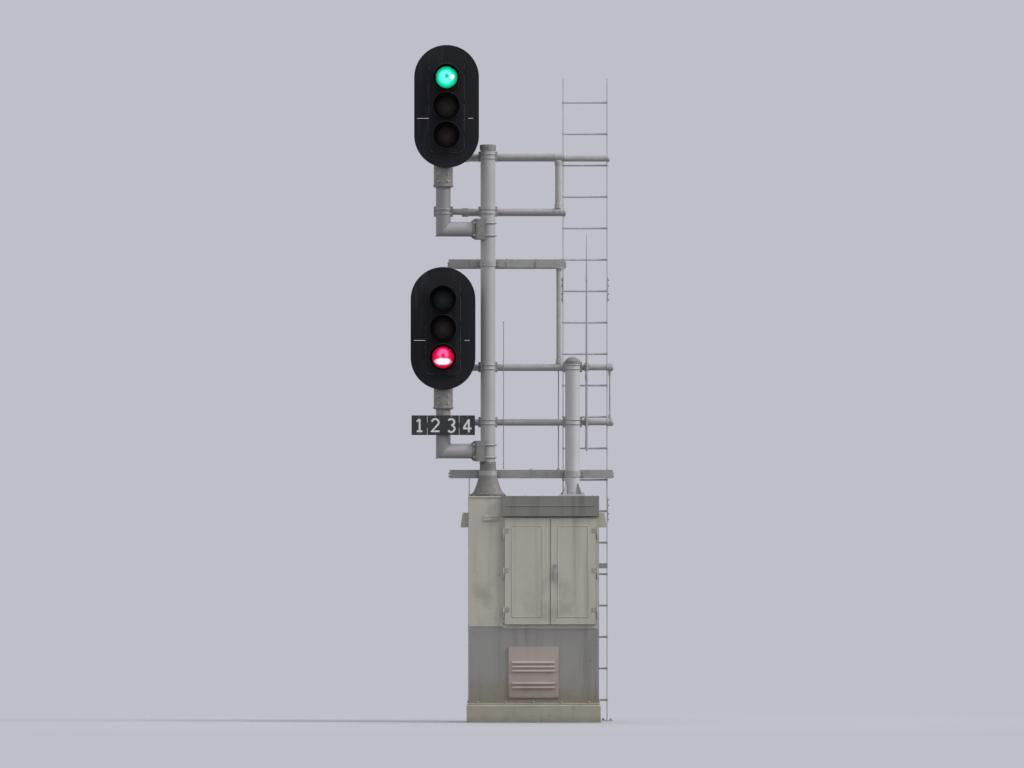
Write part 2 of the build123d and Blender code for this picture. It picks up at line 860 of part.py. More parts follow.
def ladder_brackets():
    """Blocks between the platforms and the stiles, and a tie to the case's rear wall."""
    pieces = []
    half = bracket_width / 2
    tall = bracket_height / 2
    frame_seats = [
        (ladder_left, upper_deck_z),
        (ladder_left, lower_deck_z),
        (ladder_right, lower_deck_z),
    ]
    for x, deck_z in frame_seats:
        z = deck_z - frame_height / 2
        x_high = min(x + half, upper_deck_right) if deck_z == upper_deck_z else x + half
        pieces.append(block(x - half, x_high, frame_rear, ladder_front, z - tall, z + tall))
    rail_seats = [
        (ladder_left, upper_deck_z + top_rail_above),
        (ladder_right, upper_deck_z + top_rail_above),
        (ladder_left, upper_deck_z + mid_rail_above),
        (ladder_left, lower_deck_z + top_rail_above),
        (ladder_left, lower_deck_z + mid_rail_above),
    ]
    rail_back = rear_y + rail_radius + touch_gap
    for x, z in rail_seats:
        pieces.append(block(x - half, x + half, rail_back, ladder_front, z - tall, z + tall))
    bar_low = ladder_left - stile_thick / 2
    bar_high = ladder_right + stile_thick / 2
    bar = block(bar_low, bar_high, ladder_front - tie_bar, ladder_front, tie_height, tie_height + bracket_height)
    tie = bar
    for x in (tie_arm_left, tie_arm_right):
        tie += block(x, x + tie_bar, half_depth, ladder_front - tie_bar, tie_height, tie_height + bracket_height)
    pieces.append(tie)
    return row_of(pieces)


# All sub-parts
os.makedirs("parts", exist_ok=True)

save(plinth(), "foundation")
save(side_wall(-1), "case_left_wall")
save(side_wall(1), "case_right_wall")
save(rear_wall(), "case_rear_wall")
save(inner_deck(), "case_middle_deck")
save(lower_panel(), "lower_front_panel")
save(louvre_vent(), "louvre_vent")
save(front_jambs(), "front_jambs")
save(front_header(), "front_header")
save(case_roof(), "case_roof")
save(front_hood(), "front_hood")
save(side_vents(), "side_vents")
save(door_leaf(-1), "door_left")
save(door_leaf(1), "door_right")
save(hinge_halves(), "hinge_knuckles")
save(door_handle(), "door_handle")

save(mast_base(), "mast_base")
save(mast(), "mast")
save(second_post(), "second_post")
save(post_caps(), "post_caps")
save(arm_clamps(), "arm_clamps")
save(head_collars(), "head_collars")

heads = [("upper", upper_arm_z, upper_head_shift), ("lower", lower_arm_z, lower_head_shift)]
for level, arm_z, shift in heads:
    save(arm(arm_z), f"{level}_arm")
    save(riser(arm_z), f"{level}_riser")
    save(housing(arm_z, shift), f"{level}_housing")
    save(background(arm_z, shift), f"{level}_background")
    save(lamp_hoods(arm_z, shift), f"{level}_hoods")

for colour, row in (("green", 1), ("yellow", 0), ("red", -1)):
    save(lenses(row), f"{colour}_lenses")

save(number_plates(), "number_plates")
save(number_bracket(), "number_bracket")

platforms = [
    ("upper", upper_deck_left, upper_deck_right, upper_deck_z),
    ("lower", lower_deck_left, lower_deck_right, lower_deck_z),
]
for level, left, right, deck_z in platforms:
    save(deck_frame(left, right, deck_z), f"{level}_deck_frame")
    save(deck(left, right, deck_z), f"{level}_deck")

upper_rail_right = upper_deck_right
lower_rail_right = lower_deck_right
save(
    front_rails(
        upper_deck_z,
        front_rail_left,
        upper_rail_right,
        riser_x,
        upper_rail_right,
        upper_post_x,
        rail_radius,
    ),
    "upper_front_rails",
)
lower_post_x = lower_rail_right - rail_radius
save(
    front_rails(
        lower_deck_z,
        front_rail_left,
        lower_rail_right,
        front_rail_left,
        lower_rail_right,
        lower_post_x,
        end_bar_radius,
    ),
    "lower_front_rails",
)
left_stile_end = ladder_left + bracket_width / 2
right_stile_end = ladder_right + bracket_width / 2
save(rear_rails(upper_deck_z, right_stile_end, left_stile_end), "upper_rear_rails")
save(rear_rails(lower_deck_z, left_stile_end, left_stile_end), "lower_rear_rails")
save(end_rails(), "end_rails")
save(post_clamps(), "post_clamps")

save(platform_strut(), "platform_strut")
save(tie_rods(), "tie_rods")
save(whip_antenna(), "whip_antenna")
save(ladder(), "ladder")
save(ladder_brackets(), "ladder_brackets")
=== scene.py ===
# %% [markdown]
# This file dresses a wayside colour-light signal: two black lamp heads on a pipe mast, which stands
# on a tall equipment case with two railed platforms and a ladder behind. The main shapes come from
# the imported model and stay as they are. Here they get their paint, rust and dirt, and the small
# things that were too many for the model: gratings, bolts, straps, welds, louvres, lenses and digits.

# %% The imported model
import json
import math

import bmesh
import bpy
import numpy as np
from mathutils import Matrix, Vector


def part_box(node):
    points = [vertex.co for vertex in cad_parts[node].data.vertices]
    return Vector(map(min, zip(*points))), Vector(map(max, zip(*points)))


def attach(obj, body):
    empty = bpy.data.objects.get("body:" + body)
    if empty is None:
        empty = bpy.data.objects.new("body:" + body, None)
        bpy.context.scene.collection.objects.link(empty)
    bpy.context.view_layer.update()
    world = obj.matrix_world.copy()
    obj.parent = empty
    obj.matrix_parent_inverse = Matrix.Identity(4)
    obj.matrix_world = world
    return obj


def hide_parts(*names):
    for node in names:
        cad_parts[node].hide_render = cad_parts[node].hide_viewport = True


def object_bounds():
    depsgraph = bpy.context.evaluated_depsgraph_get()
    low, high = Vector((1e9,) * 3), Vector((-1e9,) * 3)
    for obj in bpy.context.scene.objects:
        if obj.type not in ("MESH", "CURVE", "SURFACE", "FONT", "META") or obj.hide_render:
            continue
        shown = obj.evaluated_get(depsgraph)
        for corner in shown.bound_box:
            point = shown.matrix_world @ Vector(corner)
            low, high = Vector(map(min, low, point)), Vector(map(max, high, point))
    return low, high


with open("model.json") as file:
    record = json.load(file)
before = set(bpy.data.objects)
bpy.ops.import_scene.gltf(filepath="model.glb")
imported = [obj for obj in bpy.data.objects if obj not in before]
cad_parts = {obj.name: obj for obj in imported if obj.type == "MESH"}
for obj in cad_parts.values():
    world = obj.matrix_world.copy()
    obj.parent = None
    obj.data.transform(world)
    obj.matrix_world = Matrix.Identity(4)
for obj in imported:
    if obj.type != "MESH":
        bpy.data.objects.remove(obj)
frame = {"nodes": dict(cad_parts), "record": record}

model_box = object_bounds()
print("model box", [[round(c, 3) for c in corner] for corner in model_box])


# %% [markdown]
# The new pieces sit on the model's own places, so the places are read from it. A node's box gives
# a pipe's axis and radius, and a pair of rails gives its two heights. Lengths are in millimetres
# from here on, and each new piece is turned into metres when it is made.

# %% Places on the model
X, Y, Z = np.eye(3)
metre = 1000
levels = ("upper", "lower")


class Box:
    """The box round one node of the model."""

    def __init__(self, node):
        self.low, self.high = (np.array(corner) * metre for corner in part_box(node))
        self.middle, self.size = (self.low + self.high) / 2, self.high - self.low


case_foot, case_head = Box("case_left_wall").low[2], Box("case_roof").low[2]
half_x, half_y = Box("case_right_wall").high[0], -Box("case_left_wall").low[1]
mast = Box("mast")
mast_x, post_y = mast.middle[:2]
pipe_radius = mast.size[0] / 2
second_post = Box("second_post")
second_x = second_post.middle[0]
riser_x = Box("upper_riser").middle[0]
rails = {level: Box(f"{level}_front_rails") for level in levels}
rail_y, rail_radius = rails["upper"].middle[1], rails["upper"].size[1] / 2
rear_rail_y = Box("upper_rear_rails").middle[1]
top_rail = {level: rails[level].high[2] - rail_radius for level in levels}
mid_rail = {level: rails[level].low[2] + rail_radius for level in levels}
decks = {level: Box(f"{level}_deck") for level in levels}
deck_frames = {level: Box(f"{level}_deck_frame") for level in levels}
print("mast", round(mast_x), round(post_y), "rails", round(rail_y), round(rear_rail_y), "mm")


# %% [markdown]
# ## Surfaces from numbers
# Each new piece is a surface worked out as whole arrays. A part is a pair: its points, and its
# faces as rows of four point numbers, where a triangle repeats its third corner. Rings of points
# are closed into a skin by joining each point with its neighbours, and points that fall on each
# other, as at a pole, are then made one.

# %% Skins
def unit(vectors):
    """Vectors at length one."""
    vectors = np.asarray(vectors, float)
    return vectors / np.linalg.norm(vectors, axis=-1, keepdims=True)


def skin(rings, loop=False):
    """Joins rings of points into a closed surface. The rings form a loop, or else both ends close on the
    middle of their ring. A face with two corners on one spot becomes a triangle, and one with more goes."""
    rings = np.asarray(rings, float)
    if not loop:
        middles = rings.mean(axis=1, keepdims=True).repeat(rings.shape[1], axis=1)
        rings = np.concatenate([middles[:1], rings, middles[-1:]])
    points, number = np.unique(np.round(rings.reshape(-1, 3), 4) + 0.0, axis=0, return_inverse=True)
    number = number.reshape(rings.shape[:2])
    below = np.roll(number, -1, axis=0)
    corners = [number, np.roll(number, -1, axis=1), np.roll(below, -1, axis=1), below]
    faces = np.stack(corners, axis=-1).reshape(-1, 4)
    for _ in range(4):
        closed = faces[:, 2] == faces[:, 3]
        faces = np.where(closed[:, None], faces, np.roll(faces, 1, axis=1))
    first, second, third, fourth = faces.T
    return points, faces[(first != second) & (second != third) & (third != first) & (fourth != first)]


def joined(parts):
    """Several parts as one: each part's point numbers move past the points before it."""
    points, faces = zip(*parts)
    starts = np.cumsum([0, *map(len, points[:-1])])
    return np.concatenate(points), np.concatenate([face + start for face, start in zip(faces, starts)])


# %% [markdown]
# Places and outlines are laid out with five small tools. Bolts sit in rows, in grids of all
# combinations, or in pairs about a middle, and sections are circles, arcs and rectangles.

# %% Rows, arcs and outlines
def row(start, end, count):
    """Evenly spaced numbers or points from one to another, both included."""
    return np.linspace(start, end, count)


def spots(xs, ys, zs):
    """Every combination of the given x, y and z, each one number or several."""
    return np.stack(np.meshgrid(xs, ys, zs, indexing="ij"), axis=-1).reshape(-1, 3)


def both(places, offset):
    """Each place less an offset, and each plus it."""
    places = np.atleast_1d(places)
    return np.concatenate([places - offset, places + offset])


def arc(centre, first, second, start, end, steps):
    """Points on an arc: centre + first cos a + second sin a, angles in degrees."""
    angle = np.radians(row(start, end, steps))[:, None]
    return centre + np.cos(angle) * first + np.sin(angle) * second


def circle(radius, sides=8):
    """Points of a circle about Z."""
    return arc(0, radius * X, radius * Y, 0, 360 - 360 / sides, sides)


def rectangle(wide, tall, across=X, up=Y):
    """The four corners of a rectangle about the origin."""
    return np.array([(-1, -1), (1, -1), (1, 1), (-1, 1)]) * (wide / 2, tall / 2) @ [across, up]


# %% [markdown]
# Four ways of making a shape cover nearly everything on this object: a block between two corners,
# a profile turned about an axis, an outline carried along a path, and one part placed at many
# places. Turned and carried shapes are how a lathe and a bending machine would make them.

# %% Blocks, turned and carried shapes, copies
def block(low, high):
    """A box between two corners: each point is the low corner plus a share, 0 or 1, of each side."""
    share = np.indices((2, 2, 2)).reshape(3, -1).T
    sides = [[0, 1, 3, 2], [4, 6, 7, 5], [0, 4, 5, 1], [2, 3, 7, 6], [0, 2, 6, 4], [1, 5, 7, 3]]
    return np.asarray(low, float) + share * np.subtract(high, low), np.array(sides)


def turned(profile, sides=24, bore=0):
    """Turns a profile of (radius, height) about Z: point = (r cos a, r sin a, h). It closes on the axis,
    or on the radius of a bore, which may differ at its first and last height."""
    first, last = np.broadcast_to(bore, 2)
    profile = np.array([(first, profile[0][1]), *profile, (last, profile[-1][1])], float)[:, None]
    return skin(profile[..., :1] * circle(1, sides) + profile[..., 1:] * Z, loop=True)


def dome(radius, height, skirt, steps=4, sides=10):
    """A low dome on a straight skirt: radius cos a, height sin a."""
    return turned([(radius, -skirt), *arc(0, radius * X, height * Y, 0, 90, steps)[:, :2]], sides)


def carried(path, outline, across, loop=False):
    """Carries a closed outline along a path. Its first number runs along the path's direction crossed
    with across, wider by 1 / cos(half the turn) at a corner, and its second at right angles to both."""
    path, outline = np.asarray(path, float), np.asarray(outline, float)
    before, after = np.roll(path, 1, axis=0), np.roll(path, -1, axis=0)
    if not loop:
        before[0] = 2 * path[0] - path[1]
        after[-1] = 2 * path[-1] - path[-2]
    arriving, leaving = unit(path - before), unit(after - path)
    ahead = unit(arriving + leaving)
    side = unit(np.cross(ahead, across))
    rise = np.cross(side, ahead)
    wider = side / np.clip(np.sum(ahead * arriving, axis=1), 0.5, 1)[:, None]
    return skin(path[:, None] + outline[:, :1] * wider[:, None] + outline[:, 1:2] * rise[:, None], loop)


def placed(part, places, direction=None):
    """The same part at many places, as one part. A direction says where its own Z points there."""
    points, faces = part
    if direction is not None:
        ahead = unit(direction)
        side = unit(np.cross(X if abs(ahead[2]) > 0.9 else Z, ahead))
        points = points @ np.array([side, np.cross(ahead, side), ahead])
    places = np.atleast_2d(np.asarray(places, float))
    starts = np.arange(len(places))[:, None, None] * len(points)
    return (points + places[:, None]).reshape(-1, 3), (faces + starts).reshape(-1, 4)


# %% [markdown]
# Screws, bolts and rivets hold everything here, so they come next. A hexagon head is a turned
# profile with six sides. Their sizes are the thread's diameter, and the head and washer follow
# from it as on real ones.

# %% Fasteners
def bolts(places, direction, size=12):
    """Bolts with their seats at the places: a washer, a six-sided head and a thread's end."""
    profiles = {
        14: [(1.1, 0), (1.1, 0.18)],
        6: [(0.92, 0.18), (0.92, 0.75), (0.78, 0.84)],
        8: [(0.5, 0.84), (0.5, 1.1), (0.4, 1.2)],
    }
    bolt = joined([turned(np.multiply(profile, size), sides) for sides, profile in profiles.items()])
    return placed(bolt, places, direction)


def rivets(places, direction, size=5):
    """Rivets with their seats at the places, all pointing one way."""
    return placed(dome(size, 0.45 * size, 0.2 * size), places, direction)


def compass(angles):
    """Level directions at angles in degrees."""
    angle = np.radians(angles)[:, None]
    return np.cos(angle) * X + np.sin(angle) * Y


def radial_bolts(centre, radius, angles, size):
    """Bolts that point outwards all round an upright pipe, at angles in degrees."""
    return joined([bolts(centre + radius * outwards, outwards, size) for outwards in compass(angles)])


# %% [markdown]
# ## Finishes
# Shader maths reads like ordinary sums here. A Wire stands for one output of a node, and adding or
# multiplying wires adds Math nodes behind the scenes. A Finish is one material: its node method
# makes every other node, and place is the point on the object that all patterns follow.

# %% Wires and finishes
def maths(operation, swapped=False):
    """A method that adds one Math node. Swapped puts the wire after the other value."""
    def method(self, *others):
        values = (*others, self) if swapped else (self, *others)
        return self.finish.node("Math", dict(enumerate(values)), operation=operation)
    return method


class Wire:
    """One output of a node. Sums on it add Math nodes."""

    def __init__(self, finish, socket):
        self.finish, self.socket = finish, socket

    __add__, __radd__ = maths("ADD"), maths("ADD", True)
    __sub__, __rsub__ = maths("SUBTRACT"), maths("SUBTRACT", True)
    __mul__, __rmul__ = maths("MULTIPLY"), maths("MULTIPLY", True)
    __abs__ = maths("ABSOLUTE")
    most, root, fraction = maths("MAXIMUM"), maths("SQRT"), maths("FRACT")

    def fade(self, start, end):
        """0 at start, 1 at end, and smooth between them; start may be the larger."""
        (low, below), (high, above) = sorted([(start, 0.0), (end, 1.0)])
        limits = dict(enumerate((self, low, high, below, above)))
        return self.finish.node("MapRange", limits, interpolation_type="SMOOTHSTEP")


class Nodes:
    """The node tree of a material or a world, whose nodes all come from one method."""

    def __init__(self, owner):
        owner.use_nodes = True
        self.owner, self.tree = owner, owner.node_tree
        self.tree.nodes.clear()

    def node(self, kind, inputs=None, out=0, **settings):
        """Adds a node, first with its settings and then with the values or wires of its inputs."""
        node = self.tree.nodes.new("ShaderNode" + kind)
        for key, value in settings.items():
            setattr(node, key, value)
        for key, value in (inputs or {}).items():
            if isinstance(value, Wire):
                self.tree.links.new(value.socket, node.inputs[key])
            else:
                node.inputs[key].default_value = value
        if out is None:
            return [Wire(self, socket) for socket in node.outputs]
        return Wire(self, node.outputs[out])

    def seen(self):
        """1 where the camera, a reflection or glass looks, and 0 for the rays that carry light."""
        ray = self.node("LightPath", out=None)
        return ray[0].most(ray[3]).most(ray[6])


class Finish(Nodes):
    """A material with the patterns that the finishes share, all laid out in the object's own metres."""

    def __init__(self):
        super().__init__(bpy.data.materials.new("finish"))
        self.place = self.node("TexCoord", out="Object")
        self.z = self.node("SeparateXYZ", {0: self.place}, 2)

    def noise(self, scale, detail=4, stretch=(1, 1, 1), rough=0.55):
        """Cloudy noise, whose grain is longer where stretch is smaller."""
        place = self.node("VectorMath", {0: self.place, 1: stretch}, operation="MULTIPLY")
        inputs = {"Vector": place, "Scale": scale, "Detail": detail, "Roughness": rough}
        return self.node("TexNoise", inputs)

    def cells(self, scale, out="Distance"):
        """Cells like zinc flowers or stones."""
        return self.node("TexVoronoi", {"Vector": self.place, "Scale": scale}, out)

    def blend(self, share, first, second):
        """From the first colour to the second."""
        return self.node("Mix", {0: share, 6: first, 7: second}, 2, data_type="RGBA", clamp_factor=True)

    def lighter(self, colour, factor):
        """A colour times a number."""
        plain = colour if isinstance(colour, Wire) else colour[:3]
        return self.node("VectorMath", {0: plain, 3: factor}, operation="SCALE")

    def surface(self, colour, roughness, relief=None, depth=0, strength=1, **inputs):
        """Ends the material with one Principled shader. Depth is the relief's height in millimetres, and an
        underscore in a name stands for a space."""
        if relief is not None:
            bump = {"Strength": strength, "Distance": depth / metre, "Height": relief}
            inputs["Normal"] = self.node("Bump", bump)
        inputs.update(Base_Color=colour, Roughness=roughness)
        inputs = {key.replace("_", " "): value for key, value in inputs.items()}
        shader = self.node("BsdfPrincipled", inputs)
        self.node("OutputMaterial", {0: shader}, None)
        return self.owner


def srgb(*shown):
    """A colour as a screen shows it, 0 to 255, turned into the linear numbers that shaders use."""
    share = np.array(shown) / 255
    linear = np.where(share <= 0.04045, share / 12.92, ((share + 0.055) / 1.055) ** 2.4)
    return (*linear.tolist(), 1.0)


rust = srgb(112, 66, 40)
soil = srgb(112, 98, 74)
soot = srgb(58, 57, 56)
algae = srgb(104, 110, 84)


# %% [markdown]
# The case was sprayed light grey long ago. Rain has drawn darker lines down it, its shaded parts
# have a green bloom, mud has splashed up to knee height, and where stones or tools have hit it
# the coat is chipped down to rust. One function paints all the sheet metal, and only the colour
# and the amounts differ.

# %% Sheet metal paint
def sheet_paint(colour, streaks, bloom=0.4):
    """Old paint: clouds and rain lines darken it, mud covers its foot, and chips show rust."""
    f = Finish()
    clouds = f.noise(1.7, 5)
    rain = f.noise(11, 4, (1, 1, 0.05))
    drips = f.noise(46, 3, (1, 1, 0.03)).fade(0.55, 0.75)
    grain = f.noise(160, 2)
    base = f.lighter(colour, 0.86 + clouds * 0.2 + grain * 0.07)
    base = f.blend(rain.fade(0.46, 0.78) * streaks, base, soot)
    base = f.blend(drips * f.noise(2.6, 2).fade(0.5, 0.7) * streaks * 0.7, base, soot)
    green = f.noise(3.1, 5).fade(0.48, 0.72) * f.z.fade(1.75, 1.15) * f.z.fade(0.75, 1.05)
    base = f.blend(green * bloom, base, algae)
    splash = (f.z + f.noise(7) * 0.35).fade(0.72, 0.26)
    base = f.blend(splash * 0.62, base, soil)
    chip_noise = f.noise(38, 3, rough=0.7)
    chipped = chip_noise.fade(0.715, 0.735)
    halo = chip_noise.fade(0.665, 0.715) * 0.35
    base = f.blend(halo, base, rust)
    base = f.blend(chipped, base, f.lighter(rust, 0.6 + grain * 0.8))
    relief = grain * 0.25 + clouds * 0.3 - chipped * 0.8
    rough = 0.52 + splash * 0.25 + chipped * 0.3 + (clouds - 0.5) * 0.2
    return f.surface(base, rough, relief, 0.6, 0.8, Metallic=0)


# %% [markdown]
# The mast, arms and posts are steel pipe with a dull aluminium coat. It is paler and bluer than
# the case, with soft lengthwise marks, and a few brown weeps where water stands on the clamps.
# Castings are rougher and darker, and the rails and ladder are plain galvanised steel, whose zinc
# has grown large flat crystals that each catch the light differently.

# %% Pipe coat, castings and zinc
def pipe_coat(colour):
    """Dull aluminium paint with lengthwise marks, clouds, brown weeps and a fine grain."""
    f = Finish()
    clouds = f.noise(4, 5)
    marks = f.noise(30, 3, (1, 1, 0.07))
    grain = f.noise(240, 2)
    weeps = f.noise(34, 3, (1, 1, 0.045)).fade(0.63, 0.8) * f.noise(1.9, 3).fade(0.46, 0.66)
    base = f.lighter(colour, 0.84 + clouds * 0.16 + marks * 0.14 + grain * 0.06)
    base = f.blend(weeps * 0.5, base, srgb(104, 84, 66))
    specks = f.noise(90, 2, rough=0.75).fade(0.72, 0.745)
    base = f.blend(specks * 0.8, base, rust)
    rough = 0.42 + clouds * 0.2 + weeps * 0.2
    return f.surface(base, rough, grain * 0.3 + marks * 0.2 - specks, 0.5, 0.7, Metallic=0.25)


def casting(colour):
    """Painted cast metal: sand grain, soft lumps, dark soot in the hollows and rust points."""
    f = Finish()
    lumps = f.noise(28)
    sand = f.noise(220, 3, rough=0.65)
    clouds = f.noise(5)
    base = f.lighter(colour, 0.74 + clouds * 0.25 + sand * 0.22)
    base = f.blend(lumps.fade(0.62, 0.36) * 0.22, base, soot)
    rusty = f.noise(44, rough=0.72).fade(0.66, 0.72)
    base = f.blend(rusty * 0.75, base, rust)
    return f.surface(base, 0.62 + clouds * 0.18, lumps * 0.6 + sand * 0.4, 1.1, 0.9, Metallic=0.05)


def zinc(colour):
    """Weathered galvanising: crystals with their own greys, white bloom, drips and a few rust points."""
    f = Finish()
    crystals = f.node("SeparateXYZ", {0: f.cells(26, "Color")})
    fine = f.cells(88.4)
    clouds = f.noise(3.2, 5)
    drips = f.noise(26, 3, (1, 1, 0.06)).fade(0.56, 0.78)
    base = f.lighter(colour, 0.78 + crystals * 0.14 + clouds * 0.22 + fine * 0.06)
    base = f.blend(f.noise(9, 5, rough=0.7).fade(0.6, 0.78) * 0.4, base, srgb(172, 172, 170))
    base = f.blend(drips * 0.3, base, soot)
    rusty = f.noise(30, rough=0.75).fade(0.69, 0.735)
    base = f.blend(rusty * 0.85, base, rust)
    rough = 0.46 + crystals * 0.12 + clouds * 0.12
    return f.surface(base, rough, fine * 0.3 + f.noise(150, 2) * 0.5 + rusty * 0.4, 0.5, 0.7, Metallic=0.35)


# %% [markdown]
# The lamp heads are matt black so that the lamps stand out, with dust where rain can't wash it off
# and a slightly blue sheen. The number plates are enamelled black with white digits. The plinth is
# poured concrete: cement skin, sand, pebbles, air holes and the marks of the boards it was cast in.

# %% Matt black, enamel, concrete, glass fibre and rubber
def matt_black(colour):
    """Flat black paint: faded clouds, dust lines, fine orange peel and small grey scuffs."""
    f = Finish()
    clouds = f.noise(6, 5)
    peel = f.noise(180, 2)
    dust = f.noise(24, 4, (1, 1, 0.1)).fade(0.5, 0.82)
    base = f.lighter(colour, 0.7 + clouds * 0.55)
    base = f.blend(dust * 0.12, base, srgb(112, 110, 106))
    scuffs = f.noise(70, 3, (1, 1, 0.4), 0.75).fade(0.7, 0.74)
    base = f.blend(scuffs * 0.4, base, srgb(120, 120, 122))
    rough = 0.55 + clouds * 0.2 + dust * 0.15
    return f.surface(base, rough, peel * 0.5 + clouds * 0.4, 0.5, 0.7, Specular_IOR_Level=0.25)


def enamel(colour, wear):
    """Fired enamel: glossy, a little dusty, chipped to the dark iron in a few spots."""
    f = Finish()
    clouds = f.noise(14)
    base = f.lighter(colour, 0.86 + clouds * 0.2)
    base = f.blend(f.noise(40, 4, (1, 1, 0.15)).fade(0.5, 0.8) * 0.25, base, soil)
    chipped = f.noise(60, 3, rough=0.75).fade(0.7, 0.72)
    base = f.blend(chipped, base, wear)
    rough = 0.28 + clouds * 0.2 + chipped * 0.4
    return f.surface(base, rough, clouds * 0.4 - chipped, 0.4, 0.6, Coat_Weight=0.3)


def concrete(colour):
    """Poured concrete: stains, sand, pebbles, air holes, board marks and a green, muddy foot."""
    f = Finish()
    stains = f.noise(3.5, 6)
    sand = f.noise(260, 3, rough=0.7)
    stones = f.cells(70).fade(0.28, 0.16) * f.noise(12, 3).fade(0.45, 0.6)
    holes = f.cells(52).fade(0.1, 0.04) * f.noise(9, 2).fade(0.42, 0.55)
    boards = abs((f.z * 18).fraction() - 0.5).fade(0.47, 0.5)
    base = f.lighter(colour, 0.68 + stains * 0.42 + sand * 0.22)
    base = f.blend(stones * 0.4, base, srgb(150, 142, 130))
    foot = (f.z + f.noise(11) * 0.12).fade(0.15, 0.03)
    base = f.blend(foot * 0.6, base, algae)
    base = f.blend(f.noise(22, 4, (1, 1, 0.12)).fade(0.55, 0.75) * 0.35, base, soot)
    base = f.blend(holes, base, srgb(52, 49, 44))
    relief = stains * 0.6 + sand * 0.3 - holes * 1.2 - boards * 0.5 + stones * 0.3
    return f.surface(base, 0.86 + stains * 0.1, relief, 2.2, 0.9)


def glass_fibre(colour):
    """A wound glass-fibre rod: fine threads round it, faded and chalky on one side."""
    f = Finish()
    threads = f.noise(420, 2, (0.05, 0.05, 1))
    clouds = f.noise(7)
    base = f.lighter(colour, 0.8 + clouds * 0.25 + threads * 0.12)
    return f.surface(base, 0.5 + clouds * 0.2, threads, 0.3, 0.6)


def rubber(colour):
    """Weathered rubber, greyed by dust, with a fine grain; the same black also colours sheets of painted
    shade in openings.
    """
    f = Finish()
    dust = f.noise(26, 5).fade(0.42, 0.75)
    base = f.blend(dust * 0.35, f.lighter(colour, 0.8 + dust * 0.4), srgb(110, 106, 98))
    return f.surface(base, 0.78 + dust * 0.12, f.noise(300, 2), 0.3)


# %% [markdown]
# A signal lens is a dome of coloured glass with rings pressed into it, which send the lamp's light
# straight ahead. Unlit it looks nearly black with a tint. Lit, it is crimson or green at the rim,
# paler inside, with a white-hot patch where the reflector shows, and a dark dot where the bulb's
# holder stands. The mesh carries each point's place on its lens, in shares of the radius, and
# whether that lamp is lit, so that the pattern stays with its lens.

# %% Lens glass
def lens_glass(colours, core, hot, dot):
    """Ringed glass, lit from rim to body, with three patches: glare, a white-hot spot and a dark dot."""
    f = Finish()
    dark, bright, rim, body, glare = (srgb(*colour) for colour in colours)
    place = f.node("Attribute", out="Vector", attribute_name="lens_place")
    across, lit, up = f.node("SeparateXYZ", {0: place}, None)
    share = (across * across + up * up).root()
    ripples = abs((share * 13).fraction() - 0.5) * 2
    uneven = f.noise(24, 3)

    def patch(middle, radius, flat):
        """1 inside a ragged ellipse about a place on the lens, 0 outside, and lower where flat is more."""
        sideways, upwards = across - middle[0], (up - middle[1]) * flat
        distance = (sideways * sideways + upwards * upwards).root() + (uneven - 0.5) * 0.35
        return distance.fade(radius * 1.25, radius * 0.75)

    base = f.blend(ripples * 0.5 + uneven * 0.2, dark, bright)
    base = f.blend(f.noise(34).fade(0.55, 0.8) * share * 0.3, base, srgb(120, 116, 108))
    glow = f.blend(share.fade(0.6, 0.97), body, rim)
    glow = f.blend(patch(*core) * 0.85, glow, glare)
    glow = f.blend(patch(*hot), glow, srgb(255, 248, 255))
    glow = f.blend(patch(*dot) * 0.85, glow, rim)
    glow = f.lighter(glow, (0.78 + ripples * 0.22 + uneven * 0.12) * lit)
    rough = 0.2 + f.noise(60, 3).fade(0.5, 0.8) * 0.2
    return f.surface(base, rough, Coat_Weight=0.15, IOR=1.33, Emission_Color=glow, Emission_Strength=1.1)


# %% [markdown]
# Now the finishes are made and given to the model's nodes. The record says which slot each node
# takes its finish from, so the table of finishes has the same names. A few more, at its end, are
# for single nodes and for pieces that differ from their slot.

